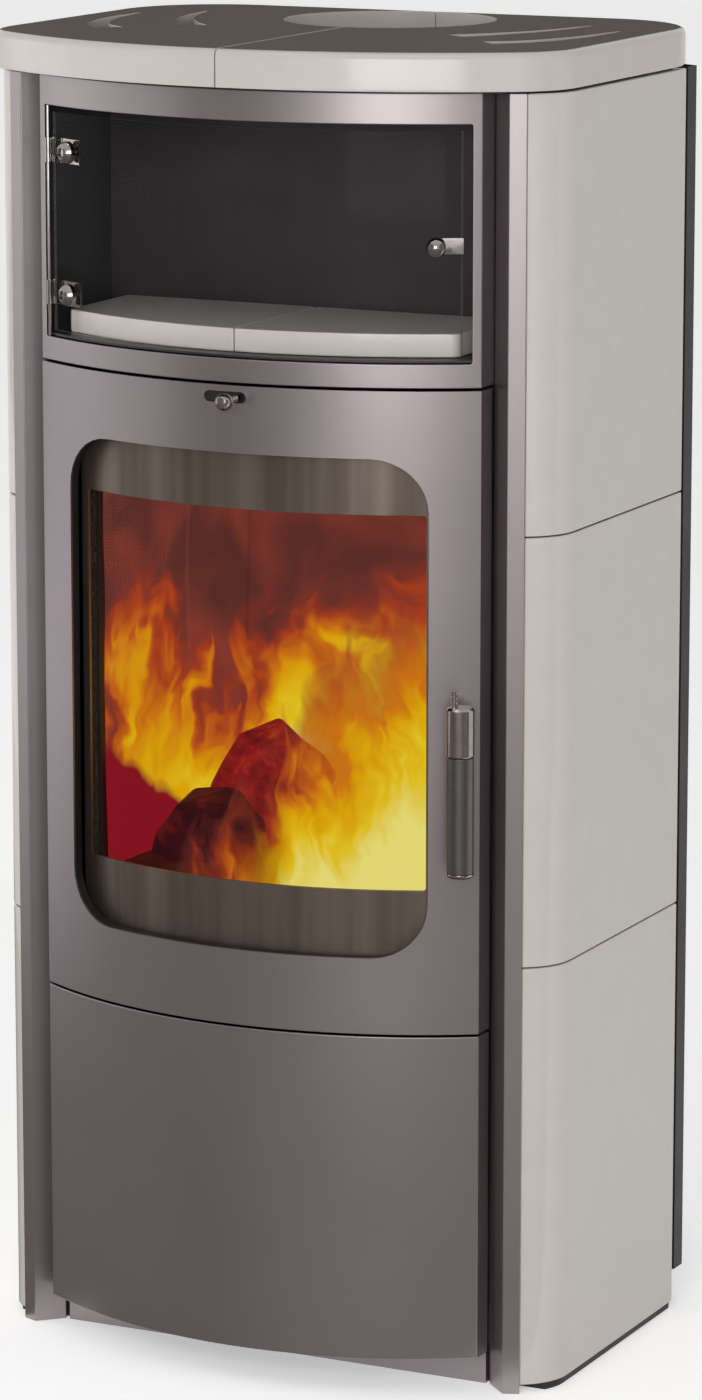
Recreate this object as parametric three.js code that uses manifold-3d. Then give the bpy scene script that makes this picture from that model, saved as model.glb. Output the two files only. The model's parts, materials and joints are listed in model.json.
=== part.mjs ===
// A tiled wood stove: a curved steel front with a glazed warming compartment,
// a fire door with a large window and a lower door, between folded steel posts,
// ceramic side tiles and a ceramic top in two halves. Millimetres, +Z up,
// the front faces -Y, the origin lies on the floor under the middle of the top.
import * as THREE from 'three';
import { mergeVertices } from 'three/addons/utils/BufferGeometryUtils.js';
import Module from 'manifold-3d';

const wasm = await Module();
wasm.setup();

// ---------- driving dimensions ----------
const BODY_HALF = 279.5; // half width over the side tiles
const TOP_DEPTH = 454; // ceramic top, front to back
const FRONT_BOW = 64; // depth of the curve of the front
const LOWER_DOOR_TALL = 298;
const FIRE_DOOR_TALL = 574.5;
const FRAME_TALL = 255; // upper frame round the warming compartment
const PLINTH_TALL = 29;

// gaps
const CLEAR = 0.3; // between pieces that rest on or sit against each other
const DOOR_GAP = 2.5; // above and below each door
const TILE_JOINT = 1.2;
const TOP_SEAM = 1.4;
const FAR = 2000; // longer than any piece, for cutting tools

// sheets and boards
const BASE_TALL = 7; // base plate
const PANEL_SHEET = 3;
const POST_SHEET = 2;
const TILE_SHEET = 15;
const WALL_SHEET = 2;
const REAR_SHEET = 2;
const TOP_SHEET_TALL = 1.9;
const NICHE_SHEET = 2;
const SHELF_TALL = 21;
const GLASS_SHEET = 4;
const DOOR_GLASS_SHEET = 4;
const COLLAR_SHEET = 3;
const DOOR_FRAME_SHEET = 3.5;
const FIREBOX_SHEET = 4;
const FLOOR_LEDGE_SHEET = 3;
const LINING = 30;
const LINING_FLOOR_TALL = 28;
const GRATE_TALL = 14;
const BAFFLE_TALL = 26;
const BRACKET_SHEET = 5;
const FLUE_SHEET = 3;
const ASH_PAN_SHEET = 1.5;

// ---------- front curve and posts in plan ----------
const TOP_FRONT_OVERHANG = 16.5; // ceramic top in front of the doors
const CORNER_WIDE = 62.5; // front post and tile corner beside the doors
const FRONT_HALF = BODY_HALF - CORNER_WIDE; // half width of the doors
const FRONT_RADIUS = (FRONT_HALF ** 2 + FRONT_BOW ** 2) / (2 * FRONT_BOW); // outer face of the doors
const FRONT_Y = -TOP_DEPTH / 2 + TOP_FRONT_OVERHANG; // foremost line of the doors
const FRONT_CENTRE_Y = FRONT_Y + FRONT_RADIUS;
const DOOR_DEPTH = 86.5; // foremost line to the ends of a door's folded sides
const RETURN_Y = FRONT_Y + DOOR_DEPTH;
// a front post in plan: foot beside the door, ridge, edge beside the tiles
const POST_FOOT_X = FRONT_HALF + 2 * CLEAR;
const POST_FOOT_Y = RETURN_Y + 3.5;
const RIDGE_X = POST_FOOT_X + 21.9;
const RIDGE_Y = POST_FOOT_Y - 20.5;
const POST_EDGE_X = RIDGE_X + 14.3;
const POST_EDGE_Y = RIDGE_Y + 6.2;
const POST_RETURN = 14; // folded edge of the front post beside the tiles
const WALL_FLANGE_Y = POST_FOOT_Y + 7.5; // front flange that carries the posts

// tiles, walls and the rear in plan
const TILE_CORNER = 50; // outer radius of a tile's corner
const TILE_FACET_ANGLE = 37;
const TILE_FACET_SET_BACK = 2.6; // facet behind the edge of the front post
const TOP_REAR_OVERHANG = 71; // ceramic top behind the tiles
const TILE_BACK_Y = TOP_DEPTH / 2 - TOP_REAR_OVERHANG;
const WALL_X = BODY_HALF - TILE_SHEET - CLEAR;
const WALL_BEND = 22; // bevelled front corner of the side wall
const BASE_INSET = 3.5; // base plate behind the faces of the tiles
const REAR_POST_X = BODY_HALF - 1.5;
const REAR_POST_FRONT_Y = TILE_BACK_Y + 7;
const REAR_POST_BACK_Y = REAR_POST_FRONT_Y + 20;
const REAR_LIP_X = 16; // turned-in rear edge of the rear post
const REAR_LIP_Y = 8;
const REAR_BEND_X = 58; // where the rear panel turns straight
const REAR_BEND_Y = 29;
const REAR_LOW = 36; // lower end of the rear posts and panel
const REAR_VENTS = 7;
const REAR_VENT_PITCH = (2 * (REAR_POST_X - REAR_BEND_X)) / (REAR_VENTS + 1.46);

// ceramic top
const TOP_SIDE_OVERHANG = 2.5;
const TOP_HALF = BODY_HALF + TOP_SIDE_OVERHANG;
const TOP_TALL = 33.5;
const TOP_CURVE_GAIN = 48; // the top's front is flatter than the doors
const TOP_FRONT_RADIUS = FRONT_RADIUS + TOP_CURVE_GAIN;
const TOP_FRONT_CORNER = 72;
const TOP_REAR_CORNER = 100;
const TOP_EDGE = 7; // rounding of the top edge
const TOP_FRONT_Y = -TOP_DEPTH / 2;
const TOP_BACK_Y = TOP_DEPTH / 2;
const TOP_HOLE_RADIUS = 97.5;
const TOP_SLOT_WIDE = 24; // front end of a slot, which narrows to a point
const TOP_SLOT_STEPS = 10;
const TOP_SHEET_INSET = 12;
const FLUE_FROM_BACK = 105;
const FLUE_Y = TOP_BACK_Y - FLUE_FROM_BACK;
const FLUE_RADIUS = 75;
const FLUE_FLANGE = 10; // flange of the collar on the firebox
const FLUE_TOP_BELOW = 16; // the collar ends this far below the ceramic top

// heights from the floor up
const LOWER_DOOR_LOW = PLINTH_TALL + DOOR_GAP;
const LOWER_DOOR_TOP = LOWER_DOOR_LOW + LOWER_DOOR_TALL;
const FIRE_DOOR_LOW = LOWER_DOOR_TOP + DOOR_GAP;
const FIRE_DOOR_TOP = FIRE_DOOR_LOW + FIRE_DOOR_TALL;
const FRAME_LOW = FIRE_DOOR_TOP + DOOR_GAP;
const BODY_TOP = FRAME_LOW + FRAME_TALL;
const TOP_SHEET_LOW = BODY_TOP + CLEAR;
const TOP_LOW = TOP_SHEET_LOW + TOP_SHEET_TALL + CLEAR;
const TOP_FACE = TOP_LOW + TOP_TALL;
const SHELL_LOW = BASE_TALL + CLEAR;
const SHELL_TOP = BODY_TOP;

// warming compartment
const FRAME_BAR_SIDE = 7; // width of the frame beside its opening
const FRAME_BAR_LOW = 21;
const FRAME_BAR_HIGH = 27;
const OPENING_HALF = FRONT_HALF - FRAME_BAR_SIDE;
const NICHE_LOW = FRAME_LOW + FRAME_BAR_LOW;
const NICHE_TOP = BODY_TOP - FRAME_BAR_HIGH;
const NICHE_HALF = OPENING_HALF - 2 * CLEAR;
const NICHE_DEEP = 181.5; // foremost line to the back of the compartment
const NICHE_BACK_Y = FRONT_Y + NICHE_DEEP;
const NICHE_RADIUS = FRONT_RADIUS - PANEL_SHEET - CLEAR;
const SHELF_PLAY = 17.4; // shelf to the side of the compartment
const SHELF_HALF = NICHE_HALF - SHELF_PLAY;
const SHELF_INSET = 18.5; // shelf front behind the face of the doors
const SHELF_CORNER = 10;
const GLASS_PLAY = 6; // gap above and below the compartment glass
const GLASS_INSET = 3; // face of the glass behind the face of the frame
const GLASS_SIDE_PLAY = 10;
const GLASS_HALF = OPENING_HALF - GLASS_SIDE_PLAY;
const NICHE_GLASS_RADIUS = FRONT_RADIUS - GLASS_INSET;
const NICHE_GLASS_Y = FRONT_Y + GLASS_INSET;
const GLASS_LOW = NICHE_LOW + GLASS_PLAY;
const GLASS_TOP = NICHE_TOP - GLASS_PLAY;
const GLASS_HINGE_X = -(OPENING_HALF - 4.5);
const GLASS_HINGE_Y = FRONT_Y + 58.3;
const GLASS_ROD_RADIUS = 1.5;
const CLAMP_X = -(GLASS_HALF - 23);
const CLAMP_RADIUS = 10;
const CLAMP_HALF = 11; // half height of the clamp plate
const CLAMP_PLATE = 3;
const CLAMP_SCREW_RADIUS = 3.5;
const CLAMP_INSET = 34; // clamp centres from the ends of the glass
const CLAMP_LOW_Z = GLASS_LOW + CLAMP_INSET;
const CLAMP_HIGH_Z = GLASS_TOP - CLAMP_INSET;
const KNOB_X = GLASS_HALF - 19;
const KNOB_Z = (GLASS_LOW + GLASS_TOP) / 2 - 1;
const KNOB_RADIUS = 8.5;

// fire door
const WINDOW_BAR_SIDE = 39.5; // door panel beside, below and above the window
const WINDOW_BAR_LOW = 68.5;
const WINDOW_BAR_HIGH = 59.5;
const WINDOW_HALF = FRONT_HALF - WINDOW_BAR_SIDE;
const WINDOW_LOW = FIRE_DOOR_LOW + WINDOW_BAR_LOW;
const WINDOW_TOP = FIRE_DOOR_TOP - WINDOW_BAR_HIGH;
const WINDOW_CORNER = 48;
const WINDOW_RECESS = 14; // door face to the face of the glass
const GLASS_RADIUS = FRONT_RADIUS - WINDOW_RECESS;
const DOOR_GLASS_LAP = 7; // glass beyond the window on each side
const DOOR_FRAME_RADIUS = GLASS_RADIUS - DOOR_GLASS_SHEET - CLEAR;
const DOOR_FRAME_HALF = WINDOW_HALF - 0.5;
const VIEW_BAR_SIDE = 9; // smoked steel beside, below and above the view of the fire
const VIEW_BAR_LOW = 58;
const VIEW_BAR_HIGH = 52.5;
const VIEW_HALF = DOOR_FRAME_HALF - VIEW_BAR_SIDE;
const VIEW_LOW = WINDOW_LOW + VIEW_BAR_LOW;
const VIEW_TOP = WINDOW_TOP - VIEW_BAR_HIGH;
const SEAL_RADIUS = DOOR_FRAME_RADIUS - DOOR_FRAME_SHEET - CLEAR;
const SEAL_WIDE = 8;
const SLOT_LONG = 41; // air control slot
const SLOT_TALL = 10;
const SLOT_BELOW = 10.5; // slot centre below the upper edge of the door
const SLOT_Z = FIRE_DOOR_TOP - SLOT_BELOW;
const AIR_SLIDE_TALL = 16;
const AIR_SHANK_RADIUS = 3;
const AIR_KNOB_X = 13.6;
const AIR_KNOB_RADIUS = 8;
const AIR_KNOB_REACH = 28; // knob centre in front of the door face

// door handle and latch
const HANDLE_INSET = 17; // handle and hinges from the sides of the door
const HANDLE_ANGLE = THREE.MathUtils.radToDeg(Math.asin((FRONT_HALF - HANDLE_INSET) / FRONT_RADIUS));
const HANDLE_HEIGHT = 280;
const HANDLE_Z = FIRE_DOOR_LOW + HANDLE_HEIGHT;
const HANDLE_REACH = 30; // grip axis in front of the door face
const SHAFT_RADIUS = 5;
const WASHER_RADIUS = 9;
const SLEEVE_RADIUS = 12.3;
const SLEEVE_TALL = 44;
const GRIP_RADIUS = 12;
const GRIP_LONG = 103;
const RING_TALL = 4;
const TONGUE_LONG = 20;
const TONGUE_HALF = 3;
const TONGUE_SHEET = 4;
const TONGUE_BOSS_RADIUS = 6.5;
const ROLLER_RADIUS = 5;

// door hinges
const HINGE_X = -(FRONT_HALF - HANDLE_INSET);
const HINGE_Y = RETURN_Y - 12;
const HINGE_INSET = 28; // hinges from the ends of their door
const HINGE_PIN_RADIUS = 3.9;
const HINGE_SLEEVE_RADIUS = 7;
const HINGE_SLEEVE_TALL = 20;
const HINGE_PLAY = 0.4;

// firebox and log compartment
const FIREBOX_SIDE_ROOM = 79.5; // air space between the firebox and the outside
const FIREBOX_BACK_ROOM = 39;
const FIREBOX_HALF = BODY_HALF - FIREBOX_SIDE_ROOM;
const FIREBOX_FRONT_Y = RETURN_Y + 27;
const FIREBOX_BACK_Y = TOP_BACK_Y - FIREBOX_BACK_ROOM;
const FIREBOX_LOW = FIRE_DOOR_LOW + 5;
const FIREBOX_TOP = FIRE_DOOR_TOP - 13.5;
const DUCT_INSET = 32; // face of the doors to the firebox front
const DUCT_HALF = WINDOW_HALF + 0.5; // firebox front and log compartment
const DUCT_RADIUS = FRONT_RADIUS - DUCT_INSET;
const DUCT_LOW = FIREBOX_LOW + 6;
const DUCT_TOP = FIREBOX_TOP - 6;
const ASH_PAN_HALF = 130;
const ASH_PAN_TALL = 40;
const ASH_PAN_FRONT_Y = HINGE_Y - 24;
const ASH_PAN_LONG = 256;
const ASH_PAN_BACK_Y = ASH_PAN_FRONT_Y + ASH_PAN_LONG;
const ASH_OPENING_HALF = ASH_PAN_HALF + 10;
const ASH_OPENING_LOW = FIREBOX_LOW + 21;
const ASH_OPENING_TOP = ASH_OPENING_LOW + ASH_PAN_TALL + 4;
const FLOOR_LEDGE_Z = ASH_OPENING_TOP + 6;
const LINING_LOW = FLOOR_LEDGE_Z + FLOOR_LEDGE_SHEET + CLEAR;
const SMOKE_ROOM = 87; // baffle and smoke path above the lining
const LINING_TOP = FIREBOX_TOP - SMOKE_ROOM;
const FIRE_OPENING_HALF = DUCT_HALF - 12;
const LINING_X = FIREBOX_HALF - FIREBOX_SHEET - CLEAR;
const LINING_FRONT_Y = FIREBOX_FRONT_Y + 9;
const LINING_BACK_Y = FIREBOX_BACK_Y - FIREBOX_SHEET - CLEAR;
const FIREBED_Z = LINING_LOW + LINING_FLOOR_TALL;
const FIRE_OPENING_LOW = FIREBED_Z + 11.7;
const FIRE_OPENING_TOP = LINING_TOP - 5;
const BAFFLE_GAP = 70; // flue gas passes in front of the baffle
const BAFFLE_FRONT_Y = LINING_FRONT_Y + BAFFLE_GAP;
const GRATE_HALF_X = 105;
const GRATE_DEEP = 130;
const GRATE_FRONT_Y = LINING_FRONT_Y + 28;
const GRATE_BACK_Y = GRATE_FRONT_Y + GRATE_DEEP;
const GRATE_SLOTS = 9;

// ---------- solids ----------
const positionsOf = (geometry) => {
  const plain = geometry.clone();
  plain.deleteAttribute('normal');
  plain.deleteAttribute('uv');
  const merged = mergeVertices(plain, 1e-4);
  const index = merged.index.array;
  const kept = [];
  for (let i = 0; i < index.length; i += 3) {
    const [p, q, r] = [index[i], index[i + 1], index[i + 2]];
    if (p !== q && q !== r && r !== p) kept.push(p, q, r);
  }
  merged.setIndex(kept);
  return merged;
};

const toSolid = (geometry) => {
  const merged = positionsOf(geometry);
  return new wasm.Manifold(new wasm.Mesh({
    numProp: 3,
    vertProperties: new Float32Array(merged.attributes.position.array),
    triVerts: new Uint32Array(merged.index.array),
  }));
};

const toGeometry = (solid) => {
  const mesh = solid.getMesh();
  const geometry = new THREE.BufferGeometry();
  geometry.setAttribute('position', new THREE.BufferAttribute(mesh.vertProperties, 3));
  geometry.setIndex(new THREE.BufferAttribute(mesh.triVerts, 1));
  return geometry;
};

const cut = (geometry, ...tools) =>
  toGeometry(tools.reduce((solid, tool) => solid.subtract(toSolid(tool)), toSolid(geometry)));
const join = (geometry, ...others) =>
  toGeometry(others.reduce((solid, other) => solid.add(toSolid(other)), toSolid(geometry)));
const common = (geometry, other) => toGeometry(toSolid(geometry).intersect(toSolid(other)));

// ---------- outlines in plan ----------
const shapeOf = (points) => new THREE.Shape(points.map(([x, y]) => new THREE.Vector2(x, y)));

// a straight prism over a closed outline
const prism = (points, low, high) =>
  new THREE.ExtrudeGeometry(shapeOf(points), { depth: high - low, bevelEnabled: false })
    .translate(0, 0, low);

const block = (x0, x1, y0, y1, z0, z1) =>
  new THREE.BoxGeometry(x1 - x0, y1 - y0, z1 - z0)
    .translate((x0 + x1) / 2, (y0 + y1) / 2, (z0 + z1) / 2);

const rod = (radius, z0, z1, x = 0, y = 0, sides = 24) =>
  new THREE.CylinderGeometry(radius, radius, z1 - z0, sides)
    .rotateX(Math.PI / 2)
    .translate(x, y, (z0 + z1) / 2);

// points of an arc about a centre, angles in degrees
const arc = (cx, cy, radius, from, to, steps) => {
  const points = [];
  for (let i = 0; i <= steps; i += 1) {
    const angle = THREE.MathUtils.degToRad(from + ((to - from) * i) / steps);
    points.push([cx + radius * Math.cos(angle), cy + radius * Math.sin(angle)]);
  }
  return points;
};

// the front curve at a radius, from -half to +half, seen from above
const frontArc = (radius, half, steps = 20, left = -half) => {
  const start = -90 + THREE.MathUtils.radToDeg(Math.asin(left / radius));
  const end = -90 + THREE.MathUtils.radToDeg(Math.asin(half / radius));
  return arc(0, FRONT_CENTRE_Y, radius, start, end, steps);
};

// y of the front curve of a radius at a given x
const frontY = (radius, x) => FRONT_CENTRE_Y - Math.sqrt(radius ** 2 - x ** 2);

// an open path moved sideways by a distance, to the left of its direction
const offsetPath = (path, distance) => path.map((point, i) => {
  const before = path[Math.max(i - 1, 0)];
  const after = path[Math.min(i + 1, path.length - 1)];
  const unit = (a, b) => {
    const length = Math.hypot(b[0] - a[0], b[1] - a[1]);
    return [(b[0] - a[0]) / length, (b[1] - a[1]) / length];
  };
  const into = i > 0 ? unit(before, point) : unit(point, after);
  const out = i < path.length - 1 ? unit(point, after) : into;
  const normal = [-(into[1] + out[1]), into[0] + out[0]];
  const scale = distance / (1 + into[0] * out[0] + into[1] * out[1]);
  return [point[0] + normal[0] * scale, point[1] + normal[1] * scale];
});

// folded sheet metal: the path is its outer face, the sheet lies to its left
const sheet = (path, thickness, low, high) =>
  prism([...path, ...offsetPath(path, thickness).reverse()], low, high);

const mirrored = (geometry) => {
  const flipped = positionsOf(geometry).scale(-1, 1, 1);
  const index = flipped.index.array;
  for (let i = 0; i < index.length; i += 3) {
    [index[i], index[i + 1]] = [index[i + 1], index[i]];
  }
  return flipped;
};

// a shell of the front curve between two radii
const curvedPlate = (outer, inner, left, right, low, high) =>
  prism([...frontArc(outer, right, 20, left), ...frontArc(inner, right, 20, left).reverse()], low, high);

// a rounded rectangle in elevation, as a cutting tool through the front
const frontTool = (half, low, high, corner, yBack = 0) => {
  const outline = [
    ...arc(half - corner, low + corner, corner, -90, 0, 8),
    ...arc(half - corner, high - corner, corner, 0, 90, 8),
    ...arc(-half + corner, high - corner, corner, 90, 180, 8),
    ...arc(-half + corner, low + corner, corner, 180, 270, 8),
  ];
  return new THREE.ExtrudeGeometry(shapeOf(outline), { depth: FAR, bevelEnabled: false })
    .rotateX(Math.PI / 2)
    .translate(0, yBack, 0);
};

// turns a piece modelled at the foremost line to an angle round the front curve
const roundFront = (geometry, degrees) =>
  geometry.translate(0, -FRONT_CENTRE_Y, 0)
    .rotateZ(THREE.MathUtils.degToRad(degrees))
    .translate(0, FRONT_CENTRE_Y, 0);

// a round bar along y, from y0 to y1
const barY = (radius, y0, y1, x, z, sides = 20) =>
  new THREE.CylinderGeometry(radius, radius, y1 - y0, sides).translate(x, (y0 + y1) / 2, z);

// a revolved form about an axis along -y: profile pairs are [radius, reach]
const turnedY = (profile, x, y, z, sides = 20) =>
  new THREE.LatheGeometry(profile.map(([r, h]) => new THREE.Vector2(r, h)), sides)
    .rotateX(Math.PI)
    .translate(x, y, z);

// a revolved form about a vertical axis: profile pairs are [radius, height]
const turnedZ = (profile, x, y, sides = 20) =>
  new THREE.LatheGeometry(profile.map(([r, h]) => new THREE.Vector2(r, h)), sides)
    .rotateX(Math.PI / 2)
    .translate(x, y, 0);

// ---------- outside shell ----------
// outer line of the tiles from the front edge round the corner to the back
// a point given along the facet and square to it, from the outer edge of the post
const fromPostEdge = (along, behind) => {
  const turn = THREE.MathUtils.degToRad(TILE_FACET_ANGLE);
  return [
    POST_EDGE_X + along * Math.cos(turn) - behind * Math.sin(turn),
    POST_EDGE_Y + along * Math.sin(turn) + behind * Math.cos(turn),
  ];
};
const tilePath = () => {
  const start = fromPostEdge(CLEAR, TILE_FACET_SET_BACK);
  const turn = THREE.MathUtils.degToRad(TILE_FACET_ANGLE);
  const cx = BODY_HALF - TILE_CORNER;
  const bendX = cx + TILE_CORNER * Math.sin(turn);
  const cy = start[1] + (bendX - start[0]) * Math.tan(turn) + TILE_CORNER * Math.cos(turn);
  return [
    start,
    ...arc(cx, cy, TILE_CORNER, TILE_FACET_ANGLE - 90, 0, 8),
    [BODY_HALF, TILE_BACK_Y],
  ];
};

const TILE_LOW = SHELL_LOW;
const TILE_TALL = (SHELL_TOP - CLEAR - TILE_LOW - 2 * TILE_JOINT) / 3;
const tile = (row) => {
  const low = TILE_LOW + row * (TILE_TALL + TILE_JOINT);
  return sheet(tilePath(), TILE_SHEET, low, low + TILE_TALL);
};

const frontPost = () => sheet([
  [POST_FOOT_X + 2, WALL_FLANGE_Y - CLEAR],
  [POST_FOOT_X, POST_FOOT_Y],
  [RIDGE_X, RIDGE_Y],
  [POST_EDGE_X, POST_EDGE_Y],
  fromPostEdge(0, POST_RETURN),
], POST_SHEET, 0, SHELL_TOP);

const sideWall = () => sheet([
  [NICHE_HALF + NICHE_SHEET + 1, WALL_FLANGE_Y],
  [WALL_X - WALL_BEND, WALL_FLANGE_Y],
  [WALL_X, WALL_FLANGE_Y + 30],
  [WALL_X, REAR_POST_BACK_Y + 2],
], WALL_SHEET, SHELL_LOW, SHELL_TOP);

const basePlate = () => {
  const outline = [
    ...offsetPath(tilePath(), BASE_INSET),
    [WALL_X + CLEAR, REAR_POST_BACK_Y + 3],
    [REAR_POST_X - REAR_BEND_X, REAR_POST_BACK_Y + REAR_BEND_Y - 2],
  ];
  const whole = prism([...outline, ...outline.map(([x, y]) => [-x, y]).reverse()], 0, BASE_TALL);
  return common(whole, block(-FAR, FAR, WALL_FLANGE_Y + CLEAR, FAR, -1, BASE_TALL + 1));
};

const plinth = () => sheet([
  [-FRONT_HALF + 3, WALL_FLANGE_Y - CLEAR],
  [-FRONT_HALF + 3, POST_FOOT_Y],
  [FRONT_HALF - 3, POST_FOOT_Y],
  [FRONT_HALF - 3, WALL_FLANGE_Y - CLEAR],
], POST_SHEET, 0, PLINTH_TALL);

// one folded sheet: the rear and both rear edges beside the tiles
const rearPanel = () => {
  const side = [
    [WALL_X + CLEAR, REAR_POST_FRONT_Y],
    [REAR_POST_X, REAR_POST_FRONT_Y],
    [REAR_POST_X, REAR_POST_BACK_Y],
    [REAR_POST_X - REAR_LIP_X, REAR_POST_BACK_Y + REAR_LIP_Y],
    [REAR_POST_X - REAR_BEND_X, REAR_POST_BACK_Y + REAR_BEND_Y],
  ];
  const path = [...side, ...side.map(([x, y]) => [-x, y]).reverse()];
  const vents = [];
  for (let i = 0; i < REAR_VENTS; i += 1) {
    const x = (i - (REAR_VENTS - 1) / 2) * REAR_VENT_PITCH;
    for (const z of [REAR_LOW + 60, SHELL_TOP - 70]) {
      vents.push(block(x - 20, x + 20, REAR_POST_BACK_Y, FAR, z, z + 12));
    }
  }
  return cut(sheet(path, REAR_SHEET, REAR_LOW, SHELL_TOP), ...vents);
};

// ---------- ceramic top ----------
const topOutline = (inset) => {
  const centreY = TOP_FRONT_Y + TOP_FRONT_RADIUS;
  const cornerX = TOP_HALF - TOP_FRONT_CORNER;
  const reach = TOP_FRONT_RADIUS - TOP_FRONT_CORNER;
  const cornerY = centreY - Math.sqrt(reach ** 2 - cornerX ** 2);
  const meet = -90 + THREE.MathUtils.radToDeg(Math.asin(cornerX / reach));
  const rearX = TOP_HALF - TOP_REAR_CORNER;
  const rearY = TOP_BACK_Y - TOP_REAR_CORNER;
  return [
    ...arc(0, centreY, TOP_FRONT_RADIUS - inset, -90, meet, 12),
    ...arc(cornerX, cornerY, TOP_FRONT_CORNER - inset, meet, 0, 8).slice(1),
    ...arc(rearX, rearY, TOP_REAR_CORNER - inset, 0, 90, 12),
  ];
};

// one curved slot: a crescent beside the flue hole, wide in front, pointed at the rear
const topSlot = (points) => {
  const curve = new THREE.CatmullRomCurve3(points.map(([x, y]) => new THREE.Vector3(x, y, 0)));
  const middle = curve.getPoints(TOP_SLOT_STEPS).map((p) => [p.x, p.y]);
  const half = (i) => 0.6 + (TOP_SLOT_WIDE / 2) * (1 - i / TOP_SLOT_STEPS) ** 0.7;
  const side = (sign) => middle.map((p, i) => offsetPath(middle, sign * half(i))[i]);
  return prism([...side(-1), ...side(1).reverse()], TOP_SHEET_LOW - 5, TOP_FACE + 5);
};
const slotTools = () => {
  const x = TOP_HALF;
  const y = TOP_BACK_Y;
  return [
    topSlot([[x - 151, y - 244], [x - 130, y - 215], [x - 104, y - 165], [x - 87, y - 93]]),
    topSlot([[x - 95, y - 298], [x - 68, y - 269], [x - 47, y - 209], [x - 40, y - 137]]),
  ];
};
const flueHole = (play) =>
  rod(TOP_HOLE_RADIUS + play, TOP_SHEET_LOW - 5, TOP_FACE + 5, 0, FLUE_Y, 48);

const topHalf = () => {
  const edge = topOutline(0);
  const outline = [[-20, TOP_FRONT_Y], ...edge.slice(1), [-20, TOP_BACK_Y]];
  const foot = 2; // the lower edge keeps only the start of the rounding
  const body = new THREE.ExtrudeGeometry(shapeOf(outline), {
    depth: TOP_TALL - TOP_EDGE - foot,
    bevelEnabled: true,
    bevelThickness: TOP_EDGE,
    bevelSize: TOP_EDGE,
    bevelOffset: -TOP_EDGE,
    bevelSegments: 4,
  }).translate(0, 0, TOP_LOW + foot);
  const half = common(body, block(TOP_SEAM / 2, FAR, -FAR, FAR, TOP_LOW, FAR * 2));
  return cut(half, flueHole(0), ...slotTools());
};

const topSheet = () => {
  const side = topOutline(TOP_SHEET_INSET);
  const other = side.slice(1).map(([x, y]) => [-x, y]).reverse();
  const plain = prism([...side, ...other], TOP_SHEET_LOW, TOP_SHEET_LOW + TOP_SHEET_TALL);
  const tools = slotTools();
  return cut(plain, flueHole(4), ...tools, ...tools.map(mirrored));
};

// ---------- warming compartment ----------
const frontPath = (returnY) => [
  [-FRONT_HALF, returnY],
  ...frontArc(FRONT_RADIUS, FRONT_HALF, 24),
  [FRONT_HALF, returnY],
];

const upperFrame = () => cut(
  sheet(frontPath(WALL_FLANGE_Y - CLEAR), PANEL_SHEET, FRAME_LOW, BODY_TOP),
  frontTool(OPENING_HALF, NICHE_LOW, NICHE_TOP, 2, FRONT_Y + 80),
);

const warmingBox = () => {
  const outer = NICHE_HALF + NICHE_SHEET;
  const plan = (half, back, radius) => [...frontArc(radius, half, 20), [half, back], [-half, back]];
  const low = NICHE_LOW + 1;
  const high = NICHE_TOP + 5;
  return cut(
    prism(plan(outer, NICHE_BACK_Y + NICHE_SHEET, NICHE_RADIUS), low, high),
    prism(plan(NICHE_HALF, NICHE_BACK_Y, FRONT_RADIUS + 20), low + NICHE_SHEET, high - NICHE_SHEET),
  );
};

const shelfHalf = () => {
  const radius = FRONT_RADIUS - SHELF_INSET;
  const corner = SHELF_CORNER;
  const outline = [
    ...frontArc(radius, SHELF_HALF - corner, 10, TOP_SEAM / 2),
    ...arc(SHELF_HALF - corner, frontY(radius, SHELF_HALF - corner) + corner, corner, -60, 0, 4),
    [SHELF_HALF, NICHE_BACK_Y - 3],
    [TOP_SEAM / 2, NICHE_BACK_Y - 3],
  ];
  const low = NICHE_LOW + 1 + NICHE_SHEET + CLEAR;
  return new THREE.ExtrudeGeometry(shapeOf(outline), {
    depth: SHELF_TALL - 4,
    bevelEnabled: true,
    bevelThickness: 2,
    bevelSize: 2,
    bevelOffset: -2,
    bevelSegments: 2,
  }).translate(0, 0, low + 2);
};

const warmingGlass = () => curvedPlate(NICHE_GLASS_RADIUS, NICHE_GLASS_RADIUS - GLASS_SHEET,
  -GLASS_HALF, GLASS_HALF, GLASS_LOW, GLASS_TOP);

const angleAt = (radius, x) => THREE.MathUtils.radToDeg(Math.asin(x / radius));

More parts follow.
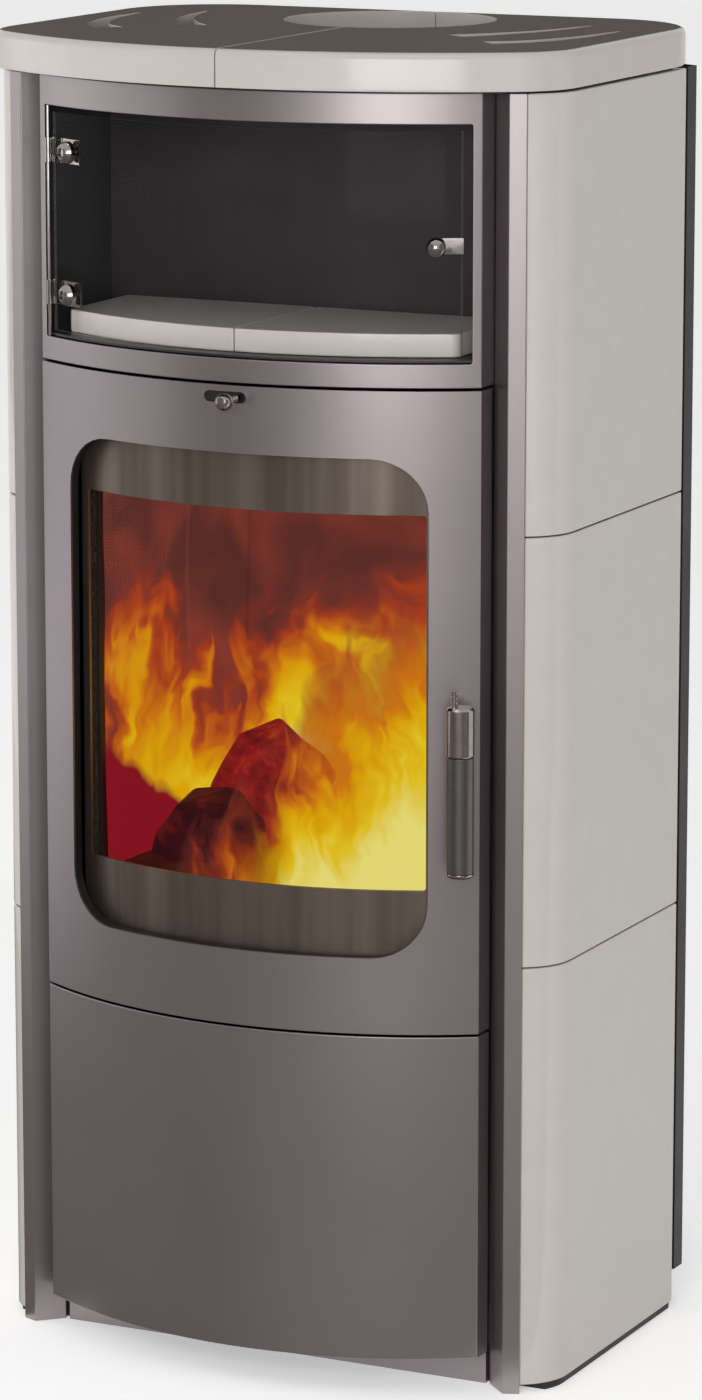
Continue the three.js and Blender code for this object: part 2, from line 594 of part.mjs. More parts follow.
// a clamp: a round button in front, a plate behind and the barrel on the rod
const glassClamp = (z) => {
  const low = z - CLAMP_HALF;
  const high = z + CLAMP_HALF;
  const back = NICHE_GLASS_RADIUS - GLASS_SHEET - CLEAR;
  const barrel = rod(GLASS_ROD_RADIUS + 1.9, low, high, GLASS_HINGE_X, GLASS_HINGE_Y, 16);
  const bore = rod(GLASS_ROD_RADIUS + CLEAR, low - 1, high + 1, GLASS_HINGE_X, GLASS_HINGE_Y, 16);
  const plate = prism([
    ...frontArc(back, CLAMP_X + CLAMP_RADIUS, 6, -GLASS_HALF),
    ...frontArc(back - CLAMP_PLATE, CLAMP_X + CLAMP_RADIUS, 6, -GLASS_HALF).reverse(),
  ], low, high);
  const web = prism([
    [GLASS_HINGE_X - 1, GLASS_HINGE_Y + 1],
    [-GLASS_HALF - 1.5, frontY(back, -GLASS_HALF - 1.5)],
    [-GLASS_HALF + 3, frontY(back, -GLASS_HALF + 3) + 0.1],
    [-GLASS_HALF + 3, frontY(back - CLAMP_PLATE, -GLASS_HALF + 3) - 0.1],
    [-GLASS_HALF - 2.5, frontY(back - CLAMP_PLATE, -GLASS_HALF - 2.5) - 0.1],
    [GLASS_HINGE_X - 1, GLASS_HINGE_Y + 3],
  ], low, high);
  const angle = angleAt(NICHE_GLASS_RADIUS, CLAMP_X);
  const rear = NICHE_GLASS_Y + GLASS_SHEET + CLEAR + 1;
  const screw = roundFront(barY(CLAMP_SCREW_RADIUS, NICHE_GLASS_Y - 4, rear, 0, z, 16), angle);
  const button = roundFront(turnedY([
    [0, CLEAR], [CLAMP_RADIUS, CLEAR], [CLAMP_RADIUS, 4.5], [CLAMP_RADIUS - 3, 8.5],
    [4.5, 9.5], [4, 7.5], [0, 7.5],
  ], 0, NICHE_GLASS_Y, z), angle);
  return cut(join(barrel, web, plate, screw, button), bore);
};

const glassHole = (x, z) => roundFront(
  barY(CLAMP_SCREW_RADIUS + CLEAR, NICHE_GLASS_Y - 20, NICHE_GLASS_Y + 20, 0, z, 16),
  angleAt(NICHE_GLASS_RADIUS, x),
);

// round knob, screwed through the glass, with the catch tab under it
const warmingKnob = () => {
  const y = NICHE_GLASS_Y;
  const inside = -GLASS_SHEET - CLEAR;
  const screw = barY(CLAMP_SCREW_RADIUS, y - 3, y + GLASS_SHEET + 6, 0, KNOB_Z, 16);
  const ball = turnedY([
    [0, CLEAR], [4.5, CLEAR], [4, 4], [7, 6], [KNOB_RADIUS, 10], [KNOB_RADIUS, 13],
    [7, 16.5], [4, 18.5], [0, 19],
  ], 0, y, KNOB_Z, 24);
  const nut = turnedY([[0, inside - 4], [6, inside - 4], [6, inside], [0, inside]], 0, y, KNOB_Z, 6);
  const tab = block(5, 24, y - 1.8, y - CLEAR, KNOB_Z - 7, KNOB_Z + 7);
  const washer = turnedY([[0, CLEAR], [6.5, CLEAR], [6.5, 1.8], [0, 1.8]], 0, y, KNOB_Z, 24);
  return roundFront(join(screw, ball, nut, washer, tab), angleAt(NICHE_GLASS_RADIUS, KNOB_X));
};

const glassHingeRod = () => rod(GLASS_ROD_RADIUS, NICHE_LOW + CLEAR, NICHE_TOP - CLEAR,
  GLASS_HINGE_X, GLASS_HINGE_Y, 12);

// ---------- fire door ----------
const doorPanel = () => {
  const path = frontPath(RETURN_Y);
  const plain = sheet(path, PANEL_SHEET, FIRE_DOOR_LOW, FIRE_DOOR_TOP);
  const window = frontTool(WINDOW_HALF, WINDOW_LOW, WINDOW_TOP, WINDOW_CORNER, FRONT_Y + 60);
  const slot = frontTool(SLOT_LONG / 2, SLOT_Z - SLOT_TALL / 2, SLOT_Z + SLOT_TALL / 2,
    SLOT_TALL / 2 - 0.1, FRONT_Y + 20);
  const shaft = roundFront(barY(SHAFT_RADIUS + 0.4, FRONT_Y - 10, FRONT_Y + 10, 0, HANDLE_Z), HANDLE_ANGLE);
  return cut(plain, window, slot, shaft);
};

const doorGlass = () => curvedPlate(GLASS_RADIUS, GLASS_RADIUS - DOOR_GLASS_SHEET,
  -WINDOW_HALF - DOOR_GLASS_LAP, WINDOW_HALF + DOOR_GLASS_LAP,
  WINDOW_LOW - DOOR_GLASS_LAP, WINDOW_TOP + DOOR_GLASS_LAP);

// the collar between the panel and the glass, all round the window
const glassCollar = () => {
  const lap = COLLAR_SHEET;
  const plate = curvedPlate(FRONT_RADIUS - PANEL_SHEET - CLEAR, GLASS_RADIUS + CLEAR,
    -WINDOW_HALF - 20, WINDOW_HALF + 20, WINDOW_LOW - 20, WINDOW_TOP + 20);
  const outside = frontTool(WINDOW_HALF + lap + 0.5, WINDOW_LOW - lap - 0.5,
    WINDOW_TOP + lap + 0.5, WINDOW_CORNER + lap, FRONT_Y + 60);
  const inside = frontTool(WINDOW_HALF + 0.5, WINDOW_LOW - 0.5, WINDOW_TOP + 0.5,
    WINDOW_CORNER, FRONT_Y + 60);
  return cut(common(plate, outside), inside);
};

const DOOR_FRAME_LOW = DUCT_LOW + 2;
const DOOR_FRAME_TOP = DUCT_TOP - 2;
const doorFrame = () => cut(
  curvedPlate(DOOR_FRAME_RADIUS, DOOR_FRAME_RADIUS - DOOR_FRAME_SHEET,
    -DOOR_FRAME_HALF, DOOR_FRAME_HALF, DOOR_FRAME_LOW, DOOR_FRAME_TOP),
  frontTool(VIEW_HALF, VIEW_LOW, VIEW_TOP, 3, FRONT_Y + 80),
);

const SEAL_HALF = DUCT_HALF - 1.5;
const doorSeal = () => {
  const low = DUCT_LOW + 4;
  const high = DUCT_TOP - 4;
  return cut(
    curvedPlate(SEAL_RADIUS, DUCT_RADIUS + CLEAR, -SEAL_HALF, SEAL_HALF, low, high),
    frontTool(SEAL_HALF - SEAL_WIDE, low + SEAL_WIDE, high - SEAL_WIDE, 4, FRONT_Y + 90),
  );
};

// hinge of a door: a sleeve on the pin and an arm to the inside of the panel
const hingeSleeve = (z) => {
  const inner = FRONT_RADIUS - PANEL_SHEET - CLEAR;
  const arm = prism([
    [HINGE_X - 6, frontY(inner, HINGE_X - 6)],
    [HINGE_X + 8, frontY(inner, HINGE_X + 8)],
    [HINGE_X + 5, HINGE_Y],
    [HINGE_X - 5, HINGE_Y],
  ], z, z + HINGE_SLEEVE_TALL);
  const sleeve = rod(HINGE_SLEEVE_RADIUS, z, z + HINGE_SLEEVE_TALL, HINGE_X, HINGE_Y);
  const bore = rod(HINGE_PIN_RADIUS + HINGE_PLAY, z - 1, z + HINGE_SLEEVE_TALL + 1, HINGE_X, HINGE_Y);
  return cut(join(arm, sleeve), bore);
};

// fixed half of a hinge: a plate from the box behind, with the pin standing on it
const hingePin = (z) => {
  const side = -DUCT_HALF - CLEAR;
  const plate = prism([
    [side, HINGE_Y - 6],
    [side, FIREBOX_FRONT_Y - 1],
    [side - 3, FIREBOX_FRONT_Y - 1],
    [side - 3, HINGE_Y + 8],
    [HINGE_X, HINGE_Y + 6],
    [HINGE_X - 4.5, HINGE_Y],
    [HINGE_X, HINGE_Y - 6],
  ].reverse(), z - BRACKET_SHEET, z);
  return join(plate, rod(HINGE_PIN_RADIUS, z - 1, z + HINGE_SLEEVE_TALL + 2, HINGE_X, HINGE_Y));
};

const LOWER_HINGES = [LOWER_DOOR_LOW + HINGE_INSET, LOWER_DOOR_TOP - HINGE_INSET - HINGE_SLEEVE_TALL];
const FIRE_HINGES = [FIRE_DOOR_LOW + HINGE_INSET, FIRE_DOOR_TOP - HINGE_INSET - HINGE_SLEEVE_TALL];

// ---------- air control ----------
const airSlide = () => {
  const inner = FRONT_RADIUS - PANEL_SHEET - CLEAR;
  const half = AIR_SLIDE_TALL / 2;
  const plain = curvedPlate(inner, inner - 2, AIR_KNOB_X - 38, AIR_KNOB_X + 12,
    SLOT_Z - half, SLOT_Z + half);
  const hole = barY(AIR_SHANK_RADIUS + CLEAR, FRONT_Y - 10, FRONT_Y + 20, AIR_KNOB_X, SLOT_Z, 16);
  return cut(plain, hole);
};
const airKnob = () => {
  const reach = AIR_KNOB_REACH;
  const face = frontY(FRONT_RADIUS, AIR_KNOB_X);
  return turnedY([
    [0, -9], [5, -9], [5, -6], [AIR_SHANK_RADIUS, -6], [AIR_SHANK_RADIUS, reach - 9],
    [5.2, reach - 7.5],
    [AIR_KNOB_RADIUS - 0.8, reach - 4], [AIR_KNOB_RADIUS, reach], [AIR_KNOB_RADIUS - 0.8, reach + 3.5],
    [5, reach + 6.4], [0, reach + 7.5],
  ], AIR_KNOB_X, face, SLOT_Z, 20);
};

// ---------- door handle, modelled at the foremost line and turned to its place ----------
const GRIP_Y = FRONT_Y - HANDLE_REACH;
const SLEEVE_LOW = HANDLE_Z - SLEEVE_TALL / 2;
const TONGUE_Y = FRONT_Y + WINDOW_RECESS + 2;
const atHandle = (geometry) => roundFront(geometry, HANDLE_ANGLE);

// shaft with the washer outside the door and the latch tongue inside it
const handleShaft = () => {
  const bar = barY(SHAFT_RADIUS, GRIP_Y + SLEEVE_RADIUS - 1, TONGUE_Y, 0, HANDLE_Z, 20);
  const washer = barY(WASHER_RADIUS, FRONT_Y - 3, FRONT_Y - CLEAR, 0, HANDLE_Z, 20);
  const end = TONGUE_Y + TONGUE_SHEET;
  const boss = barY(TONGUE_BOSS_RADIUS, TONGUE_Y - 8, end, 0, HANDLE_Z, 20);
  const tongue = block(-TONGUE_HALF, TONGUE_HALF, TONGUE_Y, end, HANDLE_Z - TONGUE_LONG, HANDLE_Z);
  return join(bar, washer, boss, tongue);
};
const handleSleeve = () => {
  const r = SLEEVE_RADIUS;
  const body = turnedZ([
    [0, SLEEVE_LOW], [r - 1, SLEEVE_LOW], [r, SLEEVE_LOW + 1.5],
    [r, SLEEVE_LOW + SLEEVE_TALL - 2], [r - 2, SLEEVE_LOW + SLEEVE_TALL], [0, SLEEVE_LOW + SLEEVE_TALL],
  ], 0, GRIP_Y, 28);
  const socket = barY(SHAFT_RADIUS + CLEAR, GRIP_Y + SLEEVE_RADIUS - 1 - CLEAR, FRONT_Y, 0, HANDLE_Z, 20);
  const top = SLEEVE_LOW + SLEEVE_TALL;
  const ringed = [[0, top - 1]];
  for (let i = 0; i < 4; i += 1) {
    ringed.push([3.1, top - 1 + i * 4.2], [3.1, top + 1.8 + i * 4.2], [2.4, top + 2.2 + i * 4.2]);
  }
  ringed.push([0, top + 15]);
  return cut(join(body, turnedZ(ringed, -5.5, GRIP_Y - 2, 12)), socket);
};
const handleGrip = () => {
  const high = SLEEVE_LOW - CLEAR;
  const r = GRIP_RADIUS;
  return turnedZ([[0, high - GRIP_LONG], [r, high - GRIP_LONG], [r, high], [0, high]], 0, GRIP_Y, 28);
};
const handleRing = () => {
  const high = SLEEVE_LOW - 2 * CLEAR - GRIP_LONG;
  const r = SLEEVE_RADIUS;
  return turnedZ([
    [0, high - RING_TALL], [r - 2, high - RING_TALL], [r, high - RING_TALL / 2],
    [r, high], [0, high],
  ], 0, GRIP_Y, 28);
};

// the keeper stands on the side of the firebox front, its roller under the tongue
const latchKeeper = () => {
  const side = DUCT_HALF + CLEAR;
  const z = HANDLE_Z - TONGUE_LONG - CLEAR - ROLLER_RADIUS;
  const turn = THREE.MathUtils.degToRad(HANDLE_ANGLE);
  const reach = FRONT_CENTRE_Y - TONGUE_Y;
  const rollerX = reach * Math.sin(turn) - 2;
  const rollerY = FRONT_CENTRE_Y - reach * Math.cos(turn);
  const plateY = FIREBOX_FRONT_Y - 21;
  const plate = block(side, rollerX + 8, plateY, plateY + 3, z - 12, z + 8);
  const foot = block(side, side + 3, plateY, FIREBOX_FRONT_Y - 1, z - 12, z + 8);
  const roller = barY(ROLLER_RADIUS, rollerY + 1.8, plateY + 1, rollerX, z, 16);
  return join(plate, foot, roller);
};

// ---------- firebox ----------
const ductPlan = (half, radius, backY) => [
  ...frontArc(radius, half, 20),
  [half, backY],
  [-half, backY],
];

const DUCT_BACK_Y = FIREBOX_FRONT_Y - CLEAR;
const ductRoom = (backY) => prism(
  ductPlan(DUCT_HALF - FIREBOX_SHEET, DUCT_RADIUS - FIREBOX_SHEET, backY),
  DUCT_LOW + FIREBOX_SHEET,
  DUCT_TOP - FIREBOX_SHEET,
);

// the curved duct between the firebox and the fire door
const fireboxFront = () => {
  const s = FIREBOX_SHEET;
  const shell = cut(
    prism(ductPlan(DUCT_HALF, DUCT_RADIUS, DUCT_BACK_Y), DUCT_LOW, DUCT_TOP),
    ductRoom(DUCT_BACK_Y + 1),
    frontTool(FIRE_OPENING_HALF, FIRE_OPENING_LOW, FIRE_OPENING_TOP, 12, FIREBOX_FRONT_Y),
    frontTool(ASH_OPENING_HALF, ASH_OPENING_LOW, ASH_OPENING_TOP, 4, FIREBOX_FRONT_Y),
  );
  const floor = prism(ductPlan(DUCT_HALF - s + 1, DUCT_RADIUS - s + 1, DUCT_BACK_Y),
    FLOOR_LEDGE_Z, FLOOR_LEDGE_Z + FLOOR_LEDGE_SHEET);
  return join(shell, floor);
};

const fireboxShell = () => {
  const s = FIREBOX_SHEET;
  const shell = cut(
    block(-FIREBOX_HALF, FIREBOX_HALF, FIREBOX_FRONT_Y, FIREBOX_BACK_Y, FIREBOX_LOW, FIREBOX_TOP),
    block(-FIREBOX_HALF + s, FIREBOX_HALF - s, FIREBOX_FRONT_Y + s, FIREBOX_BACK_Y - s,
      FIREBOX_LOW + s, FIREBOX_TOP - s),
    ductRoom(FIREBOX_FRONT_Y + 2 * s),
    rod(FLUE_RADIUS - FLUE_SHEET, FIREBOX_TOP - 20, FIREBOX_TOP + 20, 0, FLUE_Y, 36),
  );
  const ledge = cut(
    block(-FIREBOX_HALF + s - 1, FIREBOX_HALF - s + 1, FIREBOX_FRONT_Y + 1, FIREBOX_BACK_Y - s + 1,
      FLOOR_LEDGE_Z, FLOOR_LEDGE_Z + FLOOR_LEDGE_SHEET),
    block(-GRATE_HALF_X + 8, GRATE_HALF_X - 8, GRATE_FRONT_Y + 8, GRATE_BACK_Y - 8, 0, FAR),
  );
  const runner = (x) => block(x - 6, x + 6, FIREBOX_FRONT_Y + 1, ASH_PAN_BACK_Y, FIREBOX_LOW + s - 1,
    ASH_OPENING_LOW);
  return join(shell, ledge, runner(-ASH_PAN_HALF + 20), runner(ASH_PAN_HALF - 20));
};

const liningFloor = () => cut(
  block(-LINING_X, LINING_X, LINING_FRONT_Y, LINING_BACK_Y, LINING_LOW, FIREBED_Z),
  block(-GRATE_HALF_X - CLEAR, GRATE_HALF_X + CLEAR, GRATE_FRONT_Y - CLEAR, GRATE_BACK_Y + CLEAR, 0, FAR),
);
// a side board with a shallow V joint down its middle
const liningSide = () => {
  const inner = LINING_X - LINING;
  const mid = (LINING_FRONT_Y + LINING_BACK_Y) / 2 - 20;
  return prism([
    [LINING_X, LINING_FRONT_Y], [LINING_X, LINING_BACK_Y], [inner, LINING_BACK_Y],
    [inner, mid + 3], [inner + 3, mid], [inner, mid - 3], [inner, LINING_FRONT_Y + 8],
    [inner + 8, LINING_FRONT_Y],
  ], FIREBED_Z + CLEAR, LINING_TOP);
};
const liningBack = () => {
  const half = LINING_X - LINING - CLEAR;
  const front = LINING_BACK_Y - LINING;
  return prism([
    [-half, front], [-3, front], [0, front + 3], [3, front], [half, front],
    [half, LINING_BACK_Y], [-half, LINING_BACK_Y],
  ], FIREBED_Z + CLEAR, LINING_TOP);
};
const bafflePlate = () => {
  const low = LINING_TOP + CLEAR;
  return prism([
    [-LINING_X, BAFFLE_FRONT_Y], [LINING_X, BAFFLE_FRONT_Y],
    [LINING_X, LINING_BACK_Y], [-LINING_X, LINING_BACK_Y],
  ], low, low + BAFFLE_TALL);
};
const grate = () => {
  const low = LINING_LOW;
  const slots = [];
  const pitch = (2 * GRATE_HALF_X - 24) / GRATE_SLOTS;
  for (let i = 0; i < GRATE_SLOTS; i += 1) {
    const x = -GRATE_HALF_X + 12 + pitch * (i + 0.5);
    slots.push(block(x - 4, x + 4, GRATE_FRONT_Y + 14, GRATE_BACK_Y - 14, 0, FAR));
  }
  const plate = block(-GRATE_HALF_X, GRATE_HALF_X, GRATE_FRONT_Y, GRATE_BACK_Y, low, low + GRATE_TALL);
  return cut(plate, ...slots);
};
const ashPan = () => {
  const low = ASH_OPENING_LOW + CLEAR;
  const high = low + ASH_PAN_TALL;
  const s = ASH_PAN_SHEET;
  const pan = cut(
    block(-ASH_PAN_HALF, ASH_PAN_HALF, ASH_PAN_FRONT_Y, ASH_PAN_BACK_Y, low, high),
    block(-ASH_PAN_HALF + s, ASH_PAN_HALF - s, ASH_PAN_FRONT_Y + s, ASH_PAN_BACK_Y - s, low + s, FAR),
  );
  const pull = prism([
    [-30, ASH_PAN_FRONT_Y + 1], [-26, ASH_PAN_FRONT_Y - 8], [26, ASH_PAN_FRONT_Y - 8],
    [30, ASH_PAN_FRONT_Y + 1],
  ], low + 18, low + 20);
  return join(pan, pull);
};
const flueCollar = () => {
  const low = FIREBOX_TOP + CLEAR;
  const high = TOP_LOW - FLUE_TOP_BELOW;
  const r = FLUE_RADIUS;
  return new THREE.LatheGeometry([
    [r - FLUE_SHEET, low], [r + FLUE_FLANGE, low], [r + FLUE_FLANGE, low + 3], [r, low + 3], [r, high],
    [r - FLUE_SHEET, high], [r - FLUE_SHEET, low],
  ].map(([x, y]) => new THREE.Vector2(x, y)), 36).rotateX(Math.PI / 2).translate(0, FLUE_Y, 0);
};

const logBox = () => {
  const low = SHELL_LOW;
  const high = FIREBOX_LOW - CLEAR;
  const front = POST_FOOT_Y + POST_SHEET + CLEAR;
  const s = WALL_SHEET;
  return cut(
    block(-DUCT_HALF, DUCT_HALF, front, FIREBOX_BACK_Y, low, high),
    block(-DUCT_HALF + s, DUCT_HALF - s, front - 50, FIREBOX_BACK_Y - s, low + s, high - s),
  );
};

const LOG_BED_DEEP = 241.7; // the firebed that logs of full size are drawn for
const LOG_SIZE = (LINING_BACK_Y - LINING - LINING_FRONT_Y) / LOG_BED_DEEP;
const LOG_FRONT_X = -(LINING_X - LINING - 60 * LOG_SIZE);
const LOG_FRONT_Y = LINING_FRONT_Y + 49 * LOG_SIZE;
const LOG_REAR_X = -(LINING_X - LINING - 79 * LOG_SIZE);
const LOG_REAR_Y = LINING_FRONT_Y + 137 * LOG_SIZE;
// a log on its own section, drawn upright and laid down along y
const laidLog = (section, length) => {
  const bevel = 4;
  const lift = bevel * 0.6;
  return new THREE.ExtrudeGeometry(shapeOf(section), {
    depth: length - 2 * bevel,
    bevelEnabled: true,
    bevelThickness: bevel,
    bevelSize: lift,
    bevelOffset: -lift,
    bevelSegments: 1,
  }).translate(0, 0, bevel - length / 2).rotateX(Math.PI / 2).scale(LOG_SIZE, LOG_SIZE, LOG_SIZE);
};
const onFirebed = (geometry, x, y) => {
  geometry.computeBoundingBox();
  const drop = FIREBED_Z + CLEAR - geometry.boundingBox.min.z;
  return geometry.translate(x, y, drop);
};
// half-round log, turned across the firebed
const logFront = () => {
  const section = [[-45, 0], [43, 0]];
  for (let i = 0; i <= 9; i += 1) {
    const angle = THREE.MathUtils.degToRad(8 + (164 * i) / 9);
    const r = 57 * (1 + 0.05 * Math.sin(i * 2.4));
    section.push([r * Math.cos(angle) * 0.84, r * Math.sin(angle) + 2]);
  }
  return onFirebed(laidLog(section, 70).rotateZ(THREE.MathUtils.degToRad(15)), LOG_FRONT_X, LOG_FRONT_Y);
};
// split log with a kite-shaped section, lying on its blunt lower edge
const logRear = () => {
  const section = [
    [-14, -53], [12, -54], [34, -26], [52, 4], [38, 22], [14, 36], [-8, 54], [-16, 50],
    [-34, 22], [-48, -4], [-38, -22],
  ];
  return onFirebed(laidLog(section, 76), LOG_REAR_X, LOG_REAR_Y);
};

// ---------- assembly ----------
const finish = {
  glaze: [0xc9c3bb, 0.15, 0],
  steel: [0x6f686c, 0.45, 0.8],
  dark: [0x2b292b, 0.55, 0.6],
  chrome: [0xd8d8da, 0.12, 1],
  satin: [0x8b8785, 0.35, 0.9],
  glass: [0xcdd4d2, 0.05, 0],
  clay: [0xb9ab97, 0.9, 0],
  iron: [0x3a3836, 0.7, 0.7],
  rope: [0x4b4946, 0.95, 0],
  bark: [0x4a3224, 0.9, 0],
};
const stove = new THREE.Group();
const add = (name, look, geometry) => {
  const [color, roughness, metalness] = finish[look];
  const mesh = new THREE.Mesh(geometry, new THREE.MeshStandardMaterial({ color, roughness, metalness }));
  mesh.name = name;
  stove.add(mesh);
  return mesh;
};
const pair = (name, look, geometry) => {
  add(`${name}_right`, look, geometry);
  add(`${name}_left`, look, mirrored(geometry));
};

add('base_plate', 'dark', basePlate());
add('plinth', 'steel', plinth());
pair('front_post', 'steel', frontPost());
pair('side_wall', 'dark', sideWall());
add('rear_panel', 'dark', rearPanel());
['lower', 'middle', 'upper'].forEach((row, i) => pair(`tile_${row}`, 'glaze', tile(i)));
add('top_sheet', 'dark', topSheet());
pair('ceramic_top', 'glaze', topHalf());

add('upper_frame', 'steel', upperFrame());
add('warming_box', 'dark', warmingBox());
pair('shelf', 'glaze', shelfHalf());
add('warming_glass', 'glass', cut(
  warmingGlass(),
  glassHole(CLAMP_X, CLAMP_LOW_Z),
  glassHole(CLAMP_X, CLAMP_HIGH_Z),
  glassHole(KNOB_X, KNOB_Z),
));
add('glass_clamp_lower', 'chrome', glassClamp(CLAMP_LOW_Z));
add('glass_clamp_upper', 'chrome', glassClamp(CLAMP_HIGH_Z));
add('warming_knob', 'chrome', warmingKnob());
add('glass_hinge_rod', 'chrome', glassHingeRod());

add('fire_door_panel', 'steel', doorPanel());
add('glass_collar', 'dark', glassCollar());
add('door_glass', 'glass', doorGlass());
add('door_frame', 'dark', doorFrame());
add('door_seal', 'rope', doorSeal());
['lower', 'upper'].forEach((place, i) => {
  add(`fire_door_hinge_${place}`, 'dark', hingeSleeve(FIRE_HINGES[i] + CLEAR));
  add(`fire_door_pin_${place}`, 'dark', hingePin(FIRE_HINGES[i]));
  add(`lower_door_hinge_${place}`, 'dark', hingeSleeve(LOWER_HINGES[i] + CLEAR));
  add(`lower_door_pin_${place}`, 'dark', hingePin(LOWER_HINGES[i]));
});
add('lower_door_panel', 'steel', sheet(frontPath(RETURN_Y), PANEL_SHEET, LOWER_DOOR_LOW,
  LOWER_DOOR_LOW + LOWER_DOOR_TALL));

add('air_slide', 'dark', airSlide());
add('air_knob', 'chrome', airKnob());
add('handle_shaft', 'chrome', atHandle(handleShaft()));
add('handle_sleeve', 'chrome', atHandle(handleSleeve()));
add('handle_grip', 'satin', atHandle(handleGrip()));
add('handle_ring', 'chrome', atHandle(handleRing()));
add('latch_keeper', 'iron', latchKeeper());

add('log_box', 'dark', logBox());
add('firebox_shell', 'dark', fireboxShell());
add('firebox_front', 'dark', fireboxFront());
pair('lining_side', 'clay', liningSide());
add('lining_back', 'clay', liningBack());
add('lining_floor', 'clay', liningFloor());
add('baffle_plate', 'clay', bafflePlate());
add('grate', 'iron', grate());
add('ash_pan', 'dark', ashPan());
add('flue_collar', 'dark', flueCollar());
add('log_front', 'bark', logFront());
add('log_rear', 'bark', logRear());

export default stove;
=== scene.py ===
import json
import math

import bmesh
import bpy
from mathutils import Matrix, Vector, noise


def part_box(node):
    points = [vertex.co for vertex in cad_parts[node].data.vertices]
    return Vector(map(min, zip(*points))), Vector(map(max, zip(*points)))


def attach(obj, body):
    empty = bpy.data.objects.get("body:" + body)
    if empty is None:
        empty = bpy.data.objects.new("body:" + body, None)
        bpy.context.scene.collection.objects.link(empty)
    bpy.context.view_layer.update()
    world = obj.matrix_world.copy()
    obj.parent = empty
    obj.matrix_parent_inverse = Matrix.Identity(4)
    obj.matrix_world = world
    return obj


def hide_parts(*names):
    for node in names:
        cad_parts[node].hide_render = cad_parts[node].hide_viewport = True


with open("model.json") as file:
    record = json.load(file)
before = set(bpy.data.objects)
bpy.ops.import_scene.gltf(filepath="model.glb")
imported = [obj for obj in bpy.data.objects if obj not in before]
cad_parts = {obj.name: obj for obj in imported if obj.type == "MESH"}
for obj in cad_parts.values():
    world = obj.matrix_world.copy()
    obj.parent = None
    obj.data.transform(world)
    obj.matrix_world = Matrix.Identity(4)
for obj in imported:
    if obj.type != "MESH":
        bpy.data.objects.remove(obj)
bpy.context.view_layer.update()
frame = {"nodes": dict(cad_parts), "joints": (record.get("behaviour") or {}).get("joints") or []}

scene = bpy.context.scene
nodes = frame["nodes"]
joints = {joint["name"]: joint for joint in frame["joints"]}

# ---------- named sizes, in metres and degrees ----------
FRONT_CENTRE_Y = joints["air_control_turn"]["pos_m"][1]  # the axis of the curved front, at x = 0
FIREBED_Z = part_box("log_rear")[0][2]  # the height at which the logs lie
FLOOR_Z = 0.0

CAMERA_PLACE = (2.199, -4.462, 1.606)
CAMERA_PITCH = 78.43
CAMERA_YAW = 26.03
CAMERA_LENS = 142.5  # millimetres
CAMERA_SENSOR = 36.0  # millimetres, over the height of the picture
CAMERA_REACH = 200.0

# radii of the rounded edges
TILE_EDGE = 0.0016
TOP_EDGE = 0.0012
PANEL_EDGE = 0.0009
POST_EDGE = 0.0008
HANDLE_EDGE = 0.0005
FINE_EDGE = 0.0004
REAR_EDGE = 0.0003
LOG_EDGE = 0.006

# the fire's curtains
FLAME_TOP = 0.80
FLAME_SIDE_X = 0.160
FLAME_BACK_Y = 0.146
FLAME_FRONT_Y = -0.085

# ---------- camera ----------
camera_data = bpy.data.cameras.new("camera")
camera_data.sensor_fit = "VERTICAL"
camera_data.sensor_height = CAMERA_SENSOR
camera_data.lens = CAMERA_LENS
camera_data.clip_end = CAMERA_REACH
camera = bpy.data.objects.new("camera", camera_data)
camera.location = CAMERA_PLACE
camera.rotation_euler = (math.radians(CAMERA_PITCH), 0.0, math.radians(CAMERA_YAW))
scene.collection.objects.link(camera)
scene.camera = camera
scene.view_settings.view_transform = "Standard"


# ---------- colours ----------
def linear(hexcode):
    """A colour as it is seen on a screen, as the shader's linear values."""
    out = []
    for i in (0, 2, 4):
        c = int(hexcode[i:i + 2], 16) / 255
        out.append(c / 12.92 if c <= 0.04045 else ((c + 0.055) / 1.055) ** 2.4)
    return (*out, 1.0)


